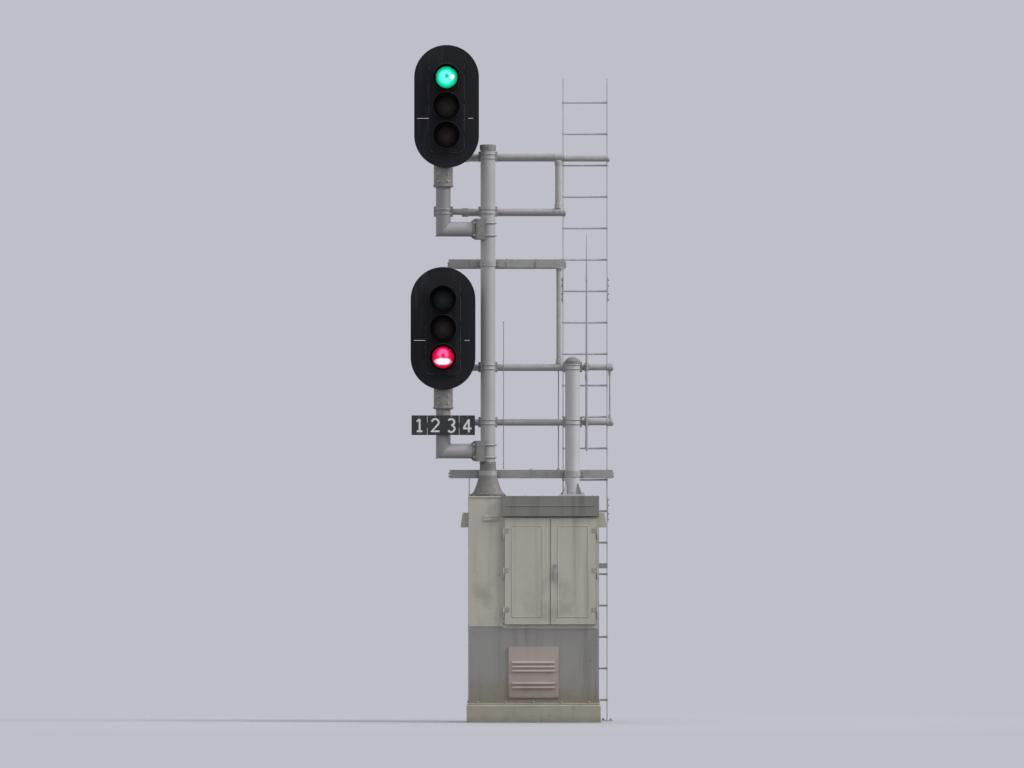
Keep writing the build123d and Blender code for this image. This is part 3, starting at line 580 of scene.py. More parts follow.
# %% Finishes on the model
finishes = {
    "concrete": concrete(srgb(150, 145, 134)),
    "case_paint": sheet_paint(srgb(172, 168, 158), 0.3),
    "lower_case_paint": sheet_paint(srgb(134, 133, 130), 0.42, 0.15),
    "vent_paint": sheet_paint(srgb(161, 150, 145), 0.22, 0),
    "hood_paint": sheet_paint(srgb(116, 116, 110), 0.5, 0.1),
    "cast_paint": casting(srgb(128, 125, 124)),
    "mast_paint": pipe_coat(srgb(158, 157, 158)),
    "rail_paint": zinc(srgb(164, 162, 163)),
    "galvanised": zinc(srgb(155, 154, 154)),
    "head_black": matt_black(srgb(24, 25, 32)),
    "plate_black": enamel(srgb(30, 32, 38), srgb(70, 52, 42)),
    "antenna_grey": glass_fibre(srgb(150, 150, 152)),
    "green_glass": lens_glass(
        [(3, 20, 17), (9, 48, 40), (0, 168, 112), (20, 240, 196), (112, 255, 248)],
        core=((-0.05, 0.03), 0.6, 1), hot=((0.5, 0.06), 0.2, 0.9), dot=((0.08, 0.12), 0.15, 1),
    ),
    "yellow_glass": lens_glass(
        [(24, 16, 4), (64, 42, 12), (150, 84, 0), (238, 170, 24), (255, 226, 150)],
        core=((0, 0.3), 0.5, 1.3), hot=((0, -0.3), 0.45, 1.7), dot=((0, 0.1), 0.15, 1),
    ),
    "red_glass": lens_glass(
        [(22, 3, 5), (60, 10, 15), (190, 0, 48), (236, 8, 78), (255, 104, 176)],
        core=((0, 0.34), 0.5, 1.2), hot=((0, -0.36), 0.68, 2.3), dot=((0.02, 0.14), 0.18, 1),
    ),
    # The risers' coat is the mast's pipe coat made darker: painted shade.
    "riser_shaded_coat": pipe_coat(srgb(131, 129, 132)),
    "white_enamel": enamel(srgb(208, 209, 209), srgb(86, 74, 66)),
    # Black rubber for the seals. It also colours the dark sheets of painted shade in the vents and the
    # keyhole.
    "rubber_and_shade_black": rubber(srgb(40, 40, 40)),
    "flare_paint": casting(srgb(114, 112, 110)),
    "ladder_zinc": zinc(srgb(182, 181, 182)),
    "post_paint": pipe_coat(srgb(174, 173, 176)),
}
for name, material in finishes.items():
    material.name = name
own_finish = {
    # The risers take the darker coat, which is painted shade.
    "upper_riser": "riser_shaded_coat",
    "lower_riser": "riser_shaded_coat",
    "mast_base": "flare_paint",
    "ladder": "ladder_zinc",
    "second_post": "post_paint",
}
for entry in frame["record"]["subparts"]:
    materials = frame["nodes"][entry["node"]].data.materials
    materials.clear()
    materials.append(finishes[own_finish.get(entry["node"], entry["material_slot"])])
print(len(finishes), "finishes on", len(frame["nodes"]), "nodes")


# %% [markdown]
# Each new piece becomes one object here. The mesh is filled from the arrays, its faces are turned
# outwards, and edges sharper than 35 degrees stay crisp. Blocks get their edges broken by a Bevel,
# because no real corner is perfectly sharp. Every piece rides on the body that carries it.

# %% Making one object
piece_count = {"objects": 0, "triangles": 0}


def make(name, parts, slot, body="structure", finish=None, edge=0, stands_for=()):
    """One object from a list of parts, with its finish, the body that carries it and its broken edges."""
    points, faces = joined(parts)
    used = np.ones(faces.shape, bool)
    used[:, 3] = faces[:, 2] != faces[:, 3]
    sizes = used.sum(axis=1)
    mesh = bpy.data.meshes.new(name)
    mesh.vertices.add(len(points))
    mesh.vertices.foreach_set("co", (points / metre).astype(np.float32).ravel())
    mesh.loops.add(int(sizes.sum()))
    mesh.loops.foreach_set("vertex_index", faces[used].astype(np.int32))
    mesh.polygons.add(len(faces))
    mesh.polygons.foreach_set("loop_start", (np.cumsum(sizes) - sizes).astype(np.int32))
    mesh.update(calc_edges=True)
    mesh.validate()
    turned_out = bmesh.new()
    turned_out.from_mesh(mesh)
    bmesh.ops.recalc_face_normals(turned_out, faces=turned_out.faces)
    turned_out.to_mesh(mesh)
    turned_out.free()
    mesh.shade_smooth()
    mesh.set_sharp_from_angle(angle=math.radians(35))
    mesh.materials.append(finishes[finish or slot])
    piece = bpy.data.objects.new(name, mesh)
    bpy.context.scene.collection.objects.link(piece)
    if edge:
        bevel = piece.modifiers.new("broken_edges", "BEVEL")
        bevel.width = edge / metre
        bevel.segments = 1
        bevel.limit_method = "ANGLE"
        bevel.angle_limit = math.radians(50)
        bevel.harden_normals = True
    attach(piece, body)
    if stands_for:
        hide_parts(*stands_for)
    triangles = int((sizes - 2).sum())
    piece_count["objects"] += 1
    piece_count["triangles"] += triangles
    print(name, triangles, "triangles")
    return piece


# %% [markdown]
# ## Platforms
# The decks are open bar grating: upright flat bars side by side along the platform, tied by twisted
# square rods pressed into their top edges. The bars' upper edges are cut into teeth, so that a boot
# doesn't slip. The model has a plain slab here, and this piece takes its place.

# %% Bar grating
bar_pitch, bar_thick = 34, 5
tooth_pitch, tooth_depth = 14, 2.5
rod_pitch, rod_side, rod_twist = 100, 7, 60


def toothed_bar(start, end, y, low, high):
    """A flat bar along X, whose top edge is a zigzag: high, then high less the depth, and so on."""
    count = 2 * round((end - start) / tooth_pitch) + 1
    x = row(start, end, count)[:, None]
    top = (high - tooth_depth * (np.arange(count) % 2))[:, None]
    sides = y + bar_thick / 2 * np.array([-1, 1, 1, -1])
    heights = np.where([True, True, False, False], low, top)
    return skin(np.stack(np.broadcast_arrays(x, sides, heights), axis=-1))


def twisted_rod(x, start, end, z):
    """A square rod along Y, whose section turns: angle = 2 pi (y - start) / twist + quarter turns."""
    y = np.append(np.arange(start, end, rod_twist / 8), end)[:, None]
    angle = 2 * np.pi * ((y - start) / rod_twist + np.arange(4) / 4)
    radius = rod_side / math.sqrt(2)
    corners = np.broadcast_arrays(x + radius * np.cos(angle), y, z + radius * np.sin(angle))
    return skin(np.stack(corners, axis=-1))


for level, deck in decks.items():
    low, high = deck.low + (2, 2, 0), deck.high - (2, 2, 0)
    bar_ys = row(low[1] + bar_thick, high[1] - bar_thick, round(deck.size[1] / bar_pitch) + 1)
    rod_xs = row(deck.low[0] + rod_pitch / 2, deck.high[0] - rod_pitch / 2, round(deck.size[0] / rod_pitch))
    parts = [toothed_bar(low[0], high[0], y, low[2], high[2]) for y in bar_ys]
    parts += [twisted_rod(x, low[1], high[1], high[2] - rod_side) for x in rod_xs]
    parts += [block((x, *low[1:]), (x + bar_thick, *high[1:])) for x in (low[0], high[0] - bar_thick)]
    make(f"{level}_grating", parts, "galvanised", stands_for=[f"{level}_deck"])


# %% [markdown]
# The grating lies in a frame of rolled steel. Its corners are welded, its joists are bolted through
# the edge bars, and saddle clips hold the grating down on the joists so that it can't rattle.

# %% Deck frame bolts, welds and grating clips
def weld_line(start, end, across):
    """A weld along a corner, whose radius swells and shrinks: 3 (1 + 0.25 cos(pi n)) at step n."""
    way = np.subtract(end, start)
    count = max(4, round(np.linalg.norm(way) / 9))
    swell = 3 * (1 + 0.25 * np.cos(np.pi * np.arange(count)))[:, None, None]
    section = arc(0, np.cross(unit(way), across), across, 0, 300, 6)
    return skin(row(start, end, count)[:, None] + swell * section)


frame_bar = 50
for level, box in deck_frames.items():
    (left, front, foot), (right, rear, top) = box.low, box.high
    joist_xs = row(left, right, 5)[1:-1]
    bar_ys = (front + frame_bar / 2, rear - frame_bar / 2)
    bolt_zs = (foot + 18, foot + 46)
    clips = spots(joist_xs, row(decks[level].low[1], decks[level].high[1], 4)[1:-1], top - 1)
    parts = [
        bolts(spots(joist_xs, front, bolt_zs), -Y, 10),
        bolts(spots(joist_xs, rear, bolt_zs), Y, 10),
        bolts(spots(left, bar_ys, bolt_zs), -X, 10),
        bolts(spots(right, bar_ys, bolt_zs), X, 10),
        placed(block((-24, -13, 0), (24, 13, 4)), clips),
        bolts(clips + 4 * Z, Z, 8),
    ]
    for x in (left + frame_bar, right - frame_bar):
        for y, end in ((front, front + frame_bar), (rear, rear - frame_bar)):
            parts += [weld_line((x, y, top), (x, end, top), Z), weld_line((x, end, foot), (x, end, top), X)]
    make(f"{level}_frame_bolts", parts, "galvanised")


# %% [markdown]
# Rails and frames are clamped to the mast, not welded. At a rail, a flat plate lies between mast
# and rail: two U-bolts hold it to the mast from the front, and two hold the rail to it from behind.
# At a deck frame, a bent strap goes round the front of the mast and is bolted through the frame.

# %% U-bolts and straps
def u_bolt(centre, radius, axis, legs, reach, size=10):
    """A rod bent to half a circle of radius + size / 2 about a pipe's axis, with two legs and nuts."""
    bent = radius + size / 2
    bend = arc(centre, bent * np.cross(axis, legs), -bent * legs, 0, 180, 17)
    tips = bend[[0, -1]] + reach * legs
    return joined([carried([tips[0], *bend, tips[1]], circle(size / 2), axis), bolts(tips, legs, size)])


def strap(centre, radius, legs, reach, width=60, thickness=8, ear=42):
    """A flat bar bent round an upright pipe: ear, side, half a circle, side and ear, bolted at the ears."""
    side, bent = np.cross(Z, legs), radius + thickness / 2
    bend = arc(centre, bent * side, -bent * legs, 0, 180, 21)
    feet = bend[[0, -1]] + (reach - thickness / 2) * legs
    outwards = ear * np.array([side, -side])
    ears = feet + outwards
    bar = carried([ears[0], feet[0], *bend, feet[1], ears[1]], rectangle(thickness, width), Z)
    seats = feet + 0.55 * outwards - thickness / 2 * legs
    return joined([bar, bolts(both(seats, width / 4 * Z), -legs, 10)])


plate_back = rail_y - rail_radius - 14
plate_front = plate_back - 8
rail_seats = [(riser_x, mid_rail["upper"])]
for x, level in ((mast_x, "upper"), (mast_x, "lower"), (second_x, "lower")):
    rail_seats += [(x, top_rail[level]), (x, mid_rail[level])]
parts = []
for x, z in rail_seats:
    parts.append(block((x - 92, plate_front, z - 50), (x + 92, plate_back, z + 50)))
    parts += [u_bolt((x, post_y, at), pipe_radius, Z, Y, plate_back - post_y) for at in (z - 20, z + 20)]
    parts += [u_bolt((at, rail_y, z), rail_radius, X, -Y, rail_y - plate_front) for at in (x - 58, x + 58)]
make("rail_clamps", parts, "galvanised", edge=1)

reach = deck_frames["lower"].low[1] - post_y
parts = [strap((x, post_y, deck_frames[level].middle[2]), pipe_radius + room, Y, reach)
         for level, x, room in (("upper", mast_x, 0), ("lower", mast_x, 8), ("lower", second_x, 0))]
make("frame_straps", parts, "galvanised", edge=1)


# %% [markdown]
# The rails are two-inch pipe put together with slip-on fittings: short cast sleeves that slide over
# the pipes and are locked with a set screw. Open pipe ends are closed with caps, or water gets in.
# The strut that carries the upper platform's end stands on the lower rail, with a flange on top.

# %% Rail fittings
def sleeve(inner, half):
    """A short pipe with broken rims, as a ring turned about Z."""
    rim, outer = inner + 3, inner + 6
    return turned([(rim, -half), (outer, 3 - half), (outer, half - 3), (rim, half)], 20, inner)


def fitting(place, branches, half=rail_radius + 14):
    """A sleeve along a rail, with a short sleeve and a screw for each branch, a (direction, radius)."""
    parts = [placed(sleeve(rail_radius, half), place, X)]
    for branch, radius in branches:
        middle, side = place + (rail_radius + 24) * branch, np.cross(branch, X)
        parts += [placed(sleeve(radius, 24), middle, branch), bolts(middle + (radius + 5) * side, side, 6)]
    return joined(parts)


side_x = Box("end_rails").low[0] + rail_radius
strut = Box("platform_strut")
strut_radius = strut.size[0] / 2
end_bar_radius = 8
flange = turned([(52, 0), (52, 8), (strut_radius + 8, 10), (strut_radius, 30)], 24, strut_radius)
parts = []
for level, post_x, half in (("upper", rails["upper"].high[0] - 67, rail_radius + 14),
                            ("lower", rails["lower"].high[0] - rail_radius, rail_radius)):
    for z, inwards in ((top_rail[level], -Z), (mid_rail[level], Z)):
        ends = {"upper": [(inwards, rail_radius)], "lower": [(Y, rail_radius), (inwards, end_bar_radius)]}
        parts += [
            fitting((post_x, rail_y, z), ends[level], half),
            fitting((side_x, rail_y, z), [(Y, rail_radius)], rail_radius),
            fitting((side_x, rear_rail_y, z), [(-Y, rail_radius)], rail_radius),
        ]
    foot = (mast_x, rear_rail_y, decks[level].high[2])
    parts += [
        fitting((mast_x, rear_rail_y, top_rail[level]), [(-Z, strut_radius)]),
        fitting((mast_x, rear_rail_y, mid_rail[level]), [(Z, strut_radius), (-Z, strut_radius)]),
        placed(flange, foot),
        bolts(arc(foot + 8 * Z, 41 * X, 41 * Y, 45, 315, 4), Z, 8),
    ]
make("rail_fittings", parts, "rail_paint")

pipe_cap = dome(rail_radius + 2, 9, 16, 5, 20)
parts = []
for level in levels:
    for side in ("front", "rear"):
        box = Box(f"{level}_{side}_rails")
        right = box.high[0] if side == "front" else Box("lower_rear_rails").high[0]
        for x, z, direction in ((side_x - 30, top_rail[level], -X), (box.low[0], mid_rail[level], -X),
                                (box.high[0], top_rail[level], X), (right, mid_rail[level], X)):
            parts.append(placed(pipe_cap, (x, box.middle[1], z), direction))
make("rail_caps", parts, "rail_paint")

parts = [
    placed(flange, (strut.middle[0], rail_y, strut.high[2]), -Z),
    fitting((strut.middle[0], rail_y, top_rail["lower"]), [(Z, strut_radius)]),
]
make("strut_ends", parts, "rail_paint")


# %% [markdown]
# ## Posts and arms
# The mast stands in a cast socket with a wide flange, bolted to the case's roof over a gasket. The
# second post has a plain square flange with four gussets, as a welder makes it from plate.

# %% Post feet
base = Box("mast_base")
foot = np.array((mast_x, post_y, base.low[2]))
flange_radius = base.size[0] / 2
bolt_radius = flange_radius - 10
bolt_ring = arc(foot + 20 * Z, bolt_radius * X, bolt_radius * Y, 22.5, 337.5, 8)
neck = (mast_x, post_y, base.high[2] - 12)
parts = [bolts(bolt_ring, Z, 9), radial_bolts(neck, pipe_radius + 5, (45, 165, 285), 8)]
make("mast_base_bolts", parts, "galvanised")
gasket = turned([(flange_radius + 6, 0), (flange_radius + 5, 5)], 48, flange_radius - 4)
make("mast_base_gasket", [placed(gasket, foot)], "cast_paint", finish="rubber_and_shade_black")

post_foot = np.array((second_x, post_y, second_post.low[2] + 16))
weld_ring = turned([(pipe_radius + 9, 0), (pipe_radius + 5, 6), (pipe_radius - 1, 10)], 40, pipe_radius - 1)
gusset = np.array([(0, 0), (62, 0), (62, 8), (10, 110), (0, 110)])
parts = [placed(weld_ring, post_foot)]
for outwards in compass((45, 135, 225, 315)):
    half = 4 * np.cross(outwards, Z)
    outline = post_foot + pipe_radius * outwards + gusset @ [outwards, Z]
    parts.append(skin([outline - half, outline + half]))
make("post_gussets", parts, "mast_paint", edge=1)
make("post_flange_bolts", [bolts(arc(post_foot, 100 * X, 100 * Y, 0, 270, 4), Z, 16)], "galvanised")


# %% [markdown]
# Each lamp head hangs on an arm of the same pipe as the mast. A cast jaw grips the mast's left
# side, and two heavy U-bolts come round from the right. Where the arm turns up, the two pipes are
# cut at 45 degrees and welded.

# %% Arm clamps and mitre welds
jaw_left = Box("arm_clamps").low[0]
arm_zs = [Box(f"{level}_arm").middle[2] for level in levels]
make("arm_u_bolts", [u_bolt((mast_x, post_y, z), pipe_radius, Z, -X, mast_x - jaw_left, 16)
                     for z in both(arm_zs, 60)], "galvanised")


def mitre_weld(corner):
    """A bead along the ellipse where arm and riser meet: (x, y, z) = corner + r (sin a, cos a, sin a)."""
    radius = pipe_radius + 1
    path = arc(corner, radius * Y, radius * (X + Z), 0, 354, 60)
    return carried(path, circle(4.5), unit(path - corner), loop=True)


# The mitre welds take the risers' darker coat, which is painted shade.
make("mitre_welds", [mitre_weld((riser_x, post_y, z)) for z in arm_zs], "mast_paint", finish="riser_shaded_coat")
jaws = spots(jaw_left, post_y, arm_zs)
socket = turned([(pipe_radius + 17, 0), (pipe_radius + 3, 26)], 40, pipe_radius - 1)
rib_top = pipe_radius + 26
rib = np.array([(0, 0.9 * pipe_radius), (0, rib_top), (-10, rib_top), (-42, 0.98 * pipe_radius)])
parts = [placed(socket, jaws, -X)]
for up in (-Z, Z):
    parts.append(placed(skin([rib @ [X, up] - 5 * Y, rib @ [X, up] + 5 * Y]), jaws))
make("arm_sockets", parts, "cast_paint")


# %% [markdown]
# A cast collar with two rows of set screws joins each riser to its head. Its rims are thicker at
# both ends. The tops of mast and second post are closed with cast caps, or they fill with water.

# %% Collars and caps
collar_radius = Box("head_collars").size[0] / 2
collar_tall = 325
rim = collar_radius + 5
collar_rim = turned([(rim, 0), (rim + 2, 3), (rim + 2, 13), (rim, 16)], 40, collar_radius - 2)
foot_rim = turned([(collar_radius - 4, -8), (collar_radius + 1, 0)], 40, pipe_radius)
rims, screws = [], []
for level in levels:
    top = Box(f"{level}_housing").low[2]
    foot = np.array((riser_x, post_y, top - collar_tall))
    rims += [placed(collar_rim, [foot, (riser_x, post_y, top - 16)]), placed(foot_rim, foot)]
    for rise in (50, 120):
        screws.append(radial_bolts(foot + rise * Z, collar_radius - 1, (-60, -120, 60, 120), 12))
make("collar_rims", rims, "cast_paint")
make("collar_screws", screws, "galvanised")

caps_top = Box("post_caps").high[2]
parts = [
    placed(dome(pipe_radius + 8, 10, 4, 6, 40), (mast_x, post_y, caps_top)),
    radial_bolts((mast_x, post_y, caps_top - 24), pipe_radius + 7, (30, 150, 270), 8),
    radial_bolts((second_x, post_y, second_post.high[2] - 10), pipe_radius + 5, (30, 150, 270), 8),
]
make("cap_screws", parts, "cast_paint")


# %% [markdown]
# ## Lamp heads
# Both heads are alike, so each piece is laid out about the middle of a head and then placed on
# both. The black background makes the lamps stand out from the sky. Its rim is rolled over a wire
# to stiffen it. It is two sheets, whose seam shows as a bright line where no splice plate lies
# behind it.

# %% Backgrounds
heads = {level: Box(f"{level}_background").middle * (1, 0, 1) for level in levels}
sheet, housing = Box("upper_background"), Box("upper_housing")
sheet_y, sheet_back = sheet.low[1], sheet.high[1]
housing_half = housing.size[0] / 2 - 20


def on_heads(name, parts, edge=0, finish=None):
    """One piece on each head, from parts laid out about x = z = 0."""
    for level, middle in heads.items():
        make(f"{level}_{name}", [placed(joined(parts), middle)], "head_black", edge=edge, finish=finish)


rim_wire = 3.5
bend = sheet.size[0] / 2 - rim_wire
straight = np.array((0, 0, (sheet.size[2] - sheet.size[0]) / 2))
upper_half = arc(straight, bend * X, bend * Z, 0, 180, 31)
lower_half = arc(-straight, bend * X, bend * Z, 180, 360, 31)
path = np.vstack([upper_half, lower_half]) + sheet.middle[1] * Y
rims = [carried(path, circle(rim_wire), Y, loop=True)]
screws = []
seam_z = -115
for left, right in ((-309, -282), (172, 208), (256, 309)):
    rims.append(block((left, sheet_back, seam_z - 24), (right, sheet_back + 4, seam_z + 24)))
    screws.append(rivets(spots((left + right) / 2, sheet_y, (seam_z - 14, seam_z + 14)), -Y, 6))
bracket_zs = (330, 40, -270)
for side in (-1, 1):
    inner = side * housing_half
    for z in bracket_zs:
        rims.append(block((inner, sheet_back, z - 20), (inner + side * 46, sheet_back + 4, z + 20)))
        rims.append(block((inner, sheet_back, z - 20), (inner + side * 4, sheet_y + 50, z + 20)))
    screws.append(bolts(spots(inner + side * 32, sheet_y, bracket_zs), -Y, 7))
    screws.append(bolts(spots(inner + side * 4, sheet_y + 34, bracket_zs), side * X, 7))
on_heads("background_rim", rims, edge=0.8)
on_heads("background_screws", screws)


# %% [markdown]
# Over each lamp sits a sheet-metal hood, open below so that snow falls out. Its free edges are
# rolled, and its foot is a ring with four lugs screwed to the face. In the ring lies the lens,
# held by a retaining ring and three clips.

# %% Hood rims, rings and retaining rings
face_y = housing.low[1]
lamp_pitch = 279.4
lamp_places = spots(0, face_y, (lamp_pitch, 0, -lamp_pitch))
lens_radius = 106.7
hood_radius, hood_length, hood_slope, hood_open = 130.5, 300, 110, 50


def hood_rim():
    """A rolled edge round a hood's mouth: z = r cos a, and y = slope (r - z) / 2r - length."""
    mouth = arc(0, hood_radius * Z, hood_radius * X, hood_open - 180, 180 - hood_open, 45)
    mouth[:, 1] = hood_slope * (hood_radius - mouth[:, 2]) / (2 * hood_radius) - hood_length
    feet = mouth[[0, -1]] * (1, 0, 1) - 4 * Y
    path = np.vstack([feet[0], mouth, feet[1]])
    return carried(path, circle(2.6, 6), unit(path * (1, 0, 1)))


lugs = arc(0, 142 * X, 142 * Z, 45, 315, 4)
hood_foot = turned([(137.5, 0), (137.5, 2.5), (134, 4)], 48, 126)
retainer = turned([(lens_radius + 13, 0), (lens_radius + 13, 5), (lens_radius + 7, 8)], 48, lens_radius - 3)
rims = [
    hood_rim(),
    placed(joined([hood_foot, retainer]), (0, 0, 0), -Y),
    placed(turned([(10, 0), (10, 4)], 16), lugs, -Y),
]
screws = [bolts(lugs - 4 * Y, -Y, 6)]
clip, numbers = block((-9, -13, lens_radius - 8), (9, -8, lens_radius + 12))
for turn in np.radians((30, 150, 270)):
    spin = np.array([(np.cos(turn), 0, -np.sin(turn)), (0, 1, 0), (np.sin(turn), 0, np.cos(turn))])
    rims.append((clip @ spin, numbers))
    screws.append(bolts((0, -13, lens_radius + 4) @ spin, -Y, 4))
on_heads("hood_rims", [placed(joined(rims), lamp_places)])
on_heads("lamp_screws", [placed(joined(screws), lamp_places)])


# %% [markdown]
# The lens itself is a shallow dome with rings moulded in its face. The grid runs from the middle
# outwards and round. Its height is the dome's, 1 - s squared, plus a low saw for the rings, where
# s is the share of the radius. Each point's place, with lit or not as its second number, is kept
# on the mesh for the glass to follow.

# %% Lenses
ring_count, ring_depth, lens_rim = 13, 1.1, -4
crown = face_y - Box("green_lenses").low[1] - ring_depth
share = row(0, 1, ring_count * 4 + 1)
saw = ring_depth * (1 - np.mod(ring_count * share, 1)) * (share < 0.99)
height = lens_rim + (crown - lens_rim) * (1 - share**2) + saw
lens = placed(turned([*zip(share * lens_radius, height), (lens_radius, -8)], 48), (0, 0, 0), -Y)
lit_on = {"green": (1, 0), "yellow": (0, 0), "red": (0, 1)}
for (colour, lit), place in zip(lit_on.items(), lamp_places):
    lenses = placed(lens, [place + middle for middle in heads.values()])
    piece = make(f"{colour}_lens_glass", [lenses], f"{colour}_glass", stands_for=[f"{colour}_lenses"])
    lens_place = np.tile(lens[0] / lens_radius, (2, 1)).astype(np.float32)
    lens_place[:, 1] = np.repeat(lit, len(lens[0]))
    layer = piece.data.attributes.new("lens_place", "FLOAT_VECTOR", "POINT")
    layer.data.foreach_set("vector", lens_place.ravel())


# %% [markdown]
# The cast housing behind has a door at its back, so that a maintainer on the platform can change
# a lamp. The door has three hinges, two latches and a drip rail over it, and the sides have ribs.

# %% Face screws, ribs, hinges and latches
back_y = housing.high[1]
door_y = back_y - 14
hinge_zs = (-290, 0, 290)
barrel = turned([(8, -32), (8, -11), (7, -10), (8, -9), (8, 32)], 14)
parts = [
    block((-142, door_y, 404), (142, back_y + 12, 410)),
    placed(barrel, spots(142, back_y - 4, hinge_zs)),
    placed(block((98, back_y - 1, -30), (142, back_y + 3, 30)), spots(0, 0, hinge_zs)),
]
for side in (-1, 1):
    rib = block((side * (housing_half - 1), -280, -5), (side * (housing_half + 7), -110, 5))
    parts.append(placed(rib, spots(0, 0, (-140, 140))))
latch = [
    block((-150, back_y - 16, -18), (-104, back_y + 5, 18)),
    carried([(-146, back_y + 8, 0), (-112, back_y + 14, 0), (-96, back_y + 26, 0)], rectangle(4, 22), Z),
]
parts.append(placed(joined(latch), spots(0, 0, (-220, 220))))
on_heads("housing_fittings", parts, edge=1)
seal = block((-134, door_y, -403), (134, door_y + 4, 403))
on_heads("housing_seal", [seal], edge=1, finish="rubber_and_shade_black")
screws = [
    rivets(spots((-157, 157), face_y, (-350, -140, 0, 140, 350)), -Y, 6),
    rivets(spots((-80, 0, 80), face_y, (-430, 430)), -Y, 6),
    rivets(spots((108, 126), back_y + 3, both(hinge_zs, 18)), Y, 4),
]
on_heads("housing_screws", screws)


# %% [markdown]
# ## Number plates
# Four enamelled plates hang side by side on a flat bar under the lower head. Their numbers here
# are plain counting numbers, each drawn as strokes of one width: lines, and arcs of a circle.

# %% Plates and digits
plates, bar = Box("number_plates"), Box("number_bracket")
front_y, plate_z = plates.low[1], plates.middle[2]
plate_xs = row(plates.low[0] + 75, plates.high[0] - 75, 4)
digit_tall = 136
stroke_wide, stroke_thick = 18, 1.4


def curve(z, radius, start, end):
    """Points of an arc in the plate's plane, as shares of a digit's height."""
    return arc((0, z), radius * X[:2], radius * Y[:2], start, end, 17)


digit_strokes = (
    [[(0.02, 0.93), (0.02, 0.04)], [(-0.19, 0.77), (0.04, 0.93)], [(-0.18, 0.07), (0.22, 0.07)]],
    [np.vstack([curve(0.70, 0.24, 170, -38), [(-0.24, 0.07), (0.3, 0.07)]])],
    [curve(0.72, 0.22, 150, -90), curve(0.26, 0.24, 90, -150)],
    [[(0.12, 0.0), (0.12, 0.92)], [(0.12, 0.90), (-0.25, 0.31)], [(-0.29, 0.27), (0.31, 0.27)]],
)
digits, rims = [], []
for x, strokes in zip(plate_xs, digit_strokes):
    foot = np.array((x, front_y - stroke_thick / 2, plate_z - digit_tall / 2))
    for number, stroke in enumerate(strokes):
        path = foot + digit_tall * np.array(stroke) @ [X, Z] - 0.25 * number * Y
        digits.append(carried(path, rectangle(stroke_wide, stroke_thick), Y))
    rims.append(carried(rectangle(144, 184, X, Z) + (x, front_y, plate_z), rectangle(5, 2.4), Y, loop=True))
make("plate_digits", digits, "plate_black", finish="white_enamel")
make("plate_rims", rims, "plate_black", edge=0.6)
make("plate_screws", [rivets(spots(plate_xs, front_y, (plate_z - 84, plate_z + 84)), -Y, 4)], "galvanised")
parts = [strap((riser_x, post_y, plate_z), pipe_radius, -Y, post_y - bar.low[1] - 8, 44, 6, 36)]
make("plate_strap", parts, "galvanised", edge=1)


# %% [markdown]
# ## Equipment case
# The case is folded from steel sheet. Angle strips cover its upright corners, a lap strip covers
# the joint between the lower and the upper front, and a strip at the foot takes the anchor bolts.

# %% Corner strips and laps
strip_thick, corner_wide, strip_joint = 3, 25, 940
foot_strip, foot_thick = 36, 4.6
lap_thick, cover_thick = 3.8, 2.4
bay_right = -292
rivet_foot, rivet_head = case_foot + 60, case_head - 60
rivet_count = round((case_head - case_foot) / 130)


def side_row(outwards, reach, half, z, count):
    """Points in a level row on one side of the case, reach from its middle and half as long each way."""
    along = half * np.cross(Z, outwards)
    return reach * outwards + z * Z + row(-along, along, count)


strips, lower_strips, case_rivets = [], [], []
for out_x in (-X, X):
    for out_y in (-Y, Y):
        corner = half_x * out_x + half_y * out_y
        outer = corner + strip_thick * (out_x + out_y)
        for along, facing in ((out_x, out_y), (out_y, out_x)):
            inner = corner - corner_wide * along
            below = lower_strips if facing[1] < 0 else strips
            below.append(block(inner + case_foot * Z, outer + strip_joint * Z))
            strips.append(block(inner + strip_joint * Z, outer + case_head * Z))
            line = corner - corner_wide / 2 * along + strip_thick * facing
            seats = row(line + rivet_foot * Z, line + rivet_head * Z, rivet_count)
            case_rivets.append(rivets(seats, facing))
lap_end, lap_y = half_x - 2, half_y + lap_thick
strips += [
    block((-lap_end, -lap_y, 925), (bay_right, -half_y, 965)),
    block((bay_right, -lap_y, 905), (lap_end, -half_y, 943)),
    block((-lap_end, half_y, 925), (lap_end, lap_y, 965)),
]
for side in (-1, 1):
    strips.append(block((side * half_x, 2 - half_y, 925), (side * (half_x + lap_thick), half_y - 2, 965)))
    strips.append(block((side * 210 - 20, half_y, case_foot + foot_strip),
                        (side * 210 + 20, half_y + cover_thick, case_head)))
foot_ring = rectangle(2 * half_x + foot_thick, 2 * half_y + foot_thick)
foot_path = foot_ring + (case_foot + foot_strip / 2 + 1) * Z
lower_strips.append(carried(foot_path, rectangle(foot_thick, foot_strip), Z, loop=True))
make("case_strips", strips, "case_paint", edge=0.8)
make("lower_case_strips", lower_strips, "lower_case_paint", edge=0.8)


# %% [markdown]
# The strips and laps are riveted through the sheet. Anchor bolts hold the foot on all four sides,
# and a bead of mortar seals it on the plinth.

# %% Rivets, anchor bolts and mortar
case_rivets += [
    rivets(row((60 - half_x, -lap_y, 945), (bay_right - 30, -lap_y, 945), 4), -Y),
    rivets(row((bay_right + 30, -lap_y, 924), (half_x - 60, -lap_y, 924), 9), -Y),
    rivets(side_row(Y, lap_y, half_x - 60, 945, 11), Y),
    rivets(spots(-345, -half_y, row(1010, 1890, 7)), -Y),
    rivets(spots(both((-210, 210), 8), half_y + cover_thick, row(rivet_foot, rivet_head, 15)), Y, 4),
]
anchors = []
for side in (-1, 1):
    case_rivets.append(rivets(side_row(side * X, half_x + lap_thick, half_y - 60, 945, 6), side * X))
    for axis, reach, half, count in ((Y, half_y, half_x - 90, 5), (X, half_x, half_y - 110, 3)):
        seats = side_row(side * axis, reach + foot_thick, half, case_foot + foot_strip / 2, count)
        anchors.append(bolts(seats, side * axis, 9))
make("case_rivets", case_rivets, "case_paint")
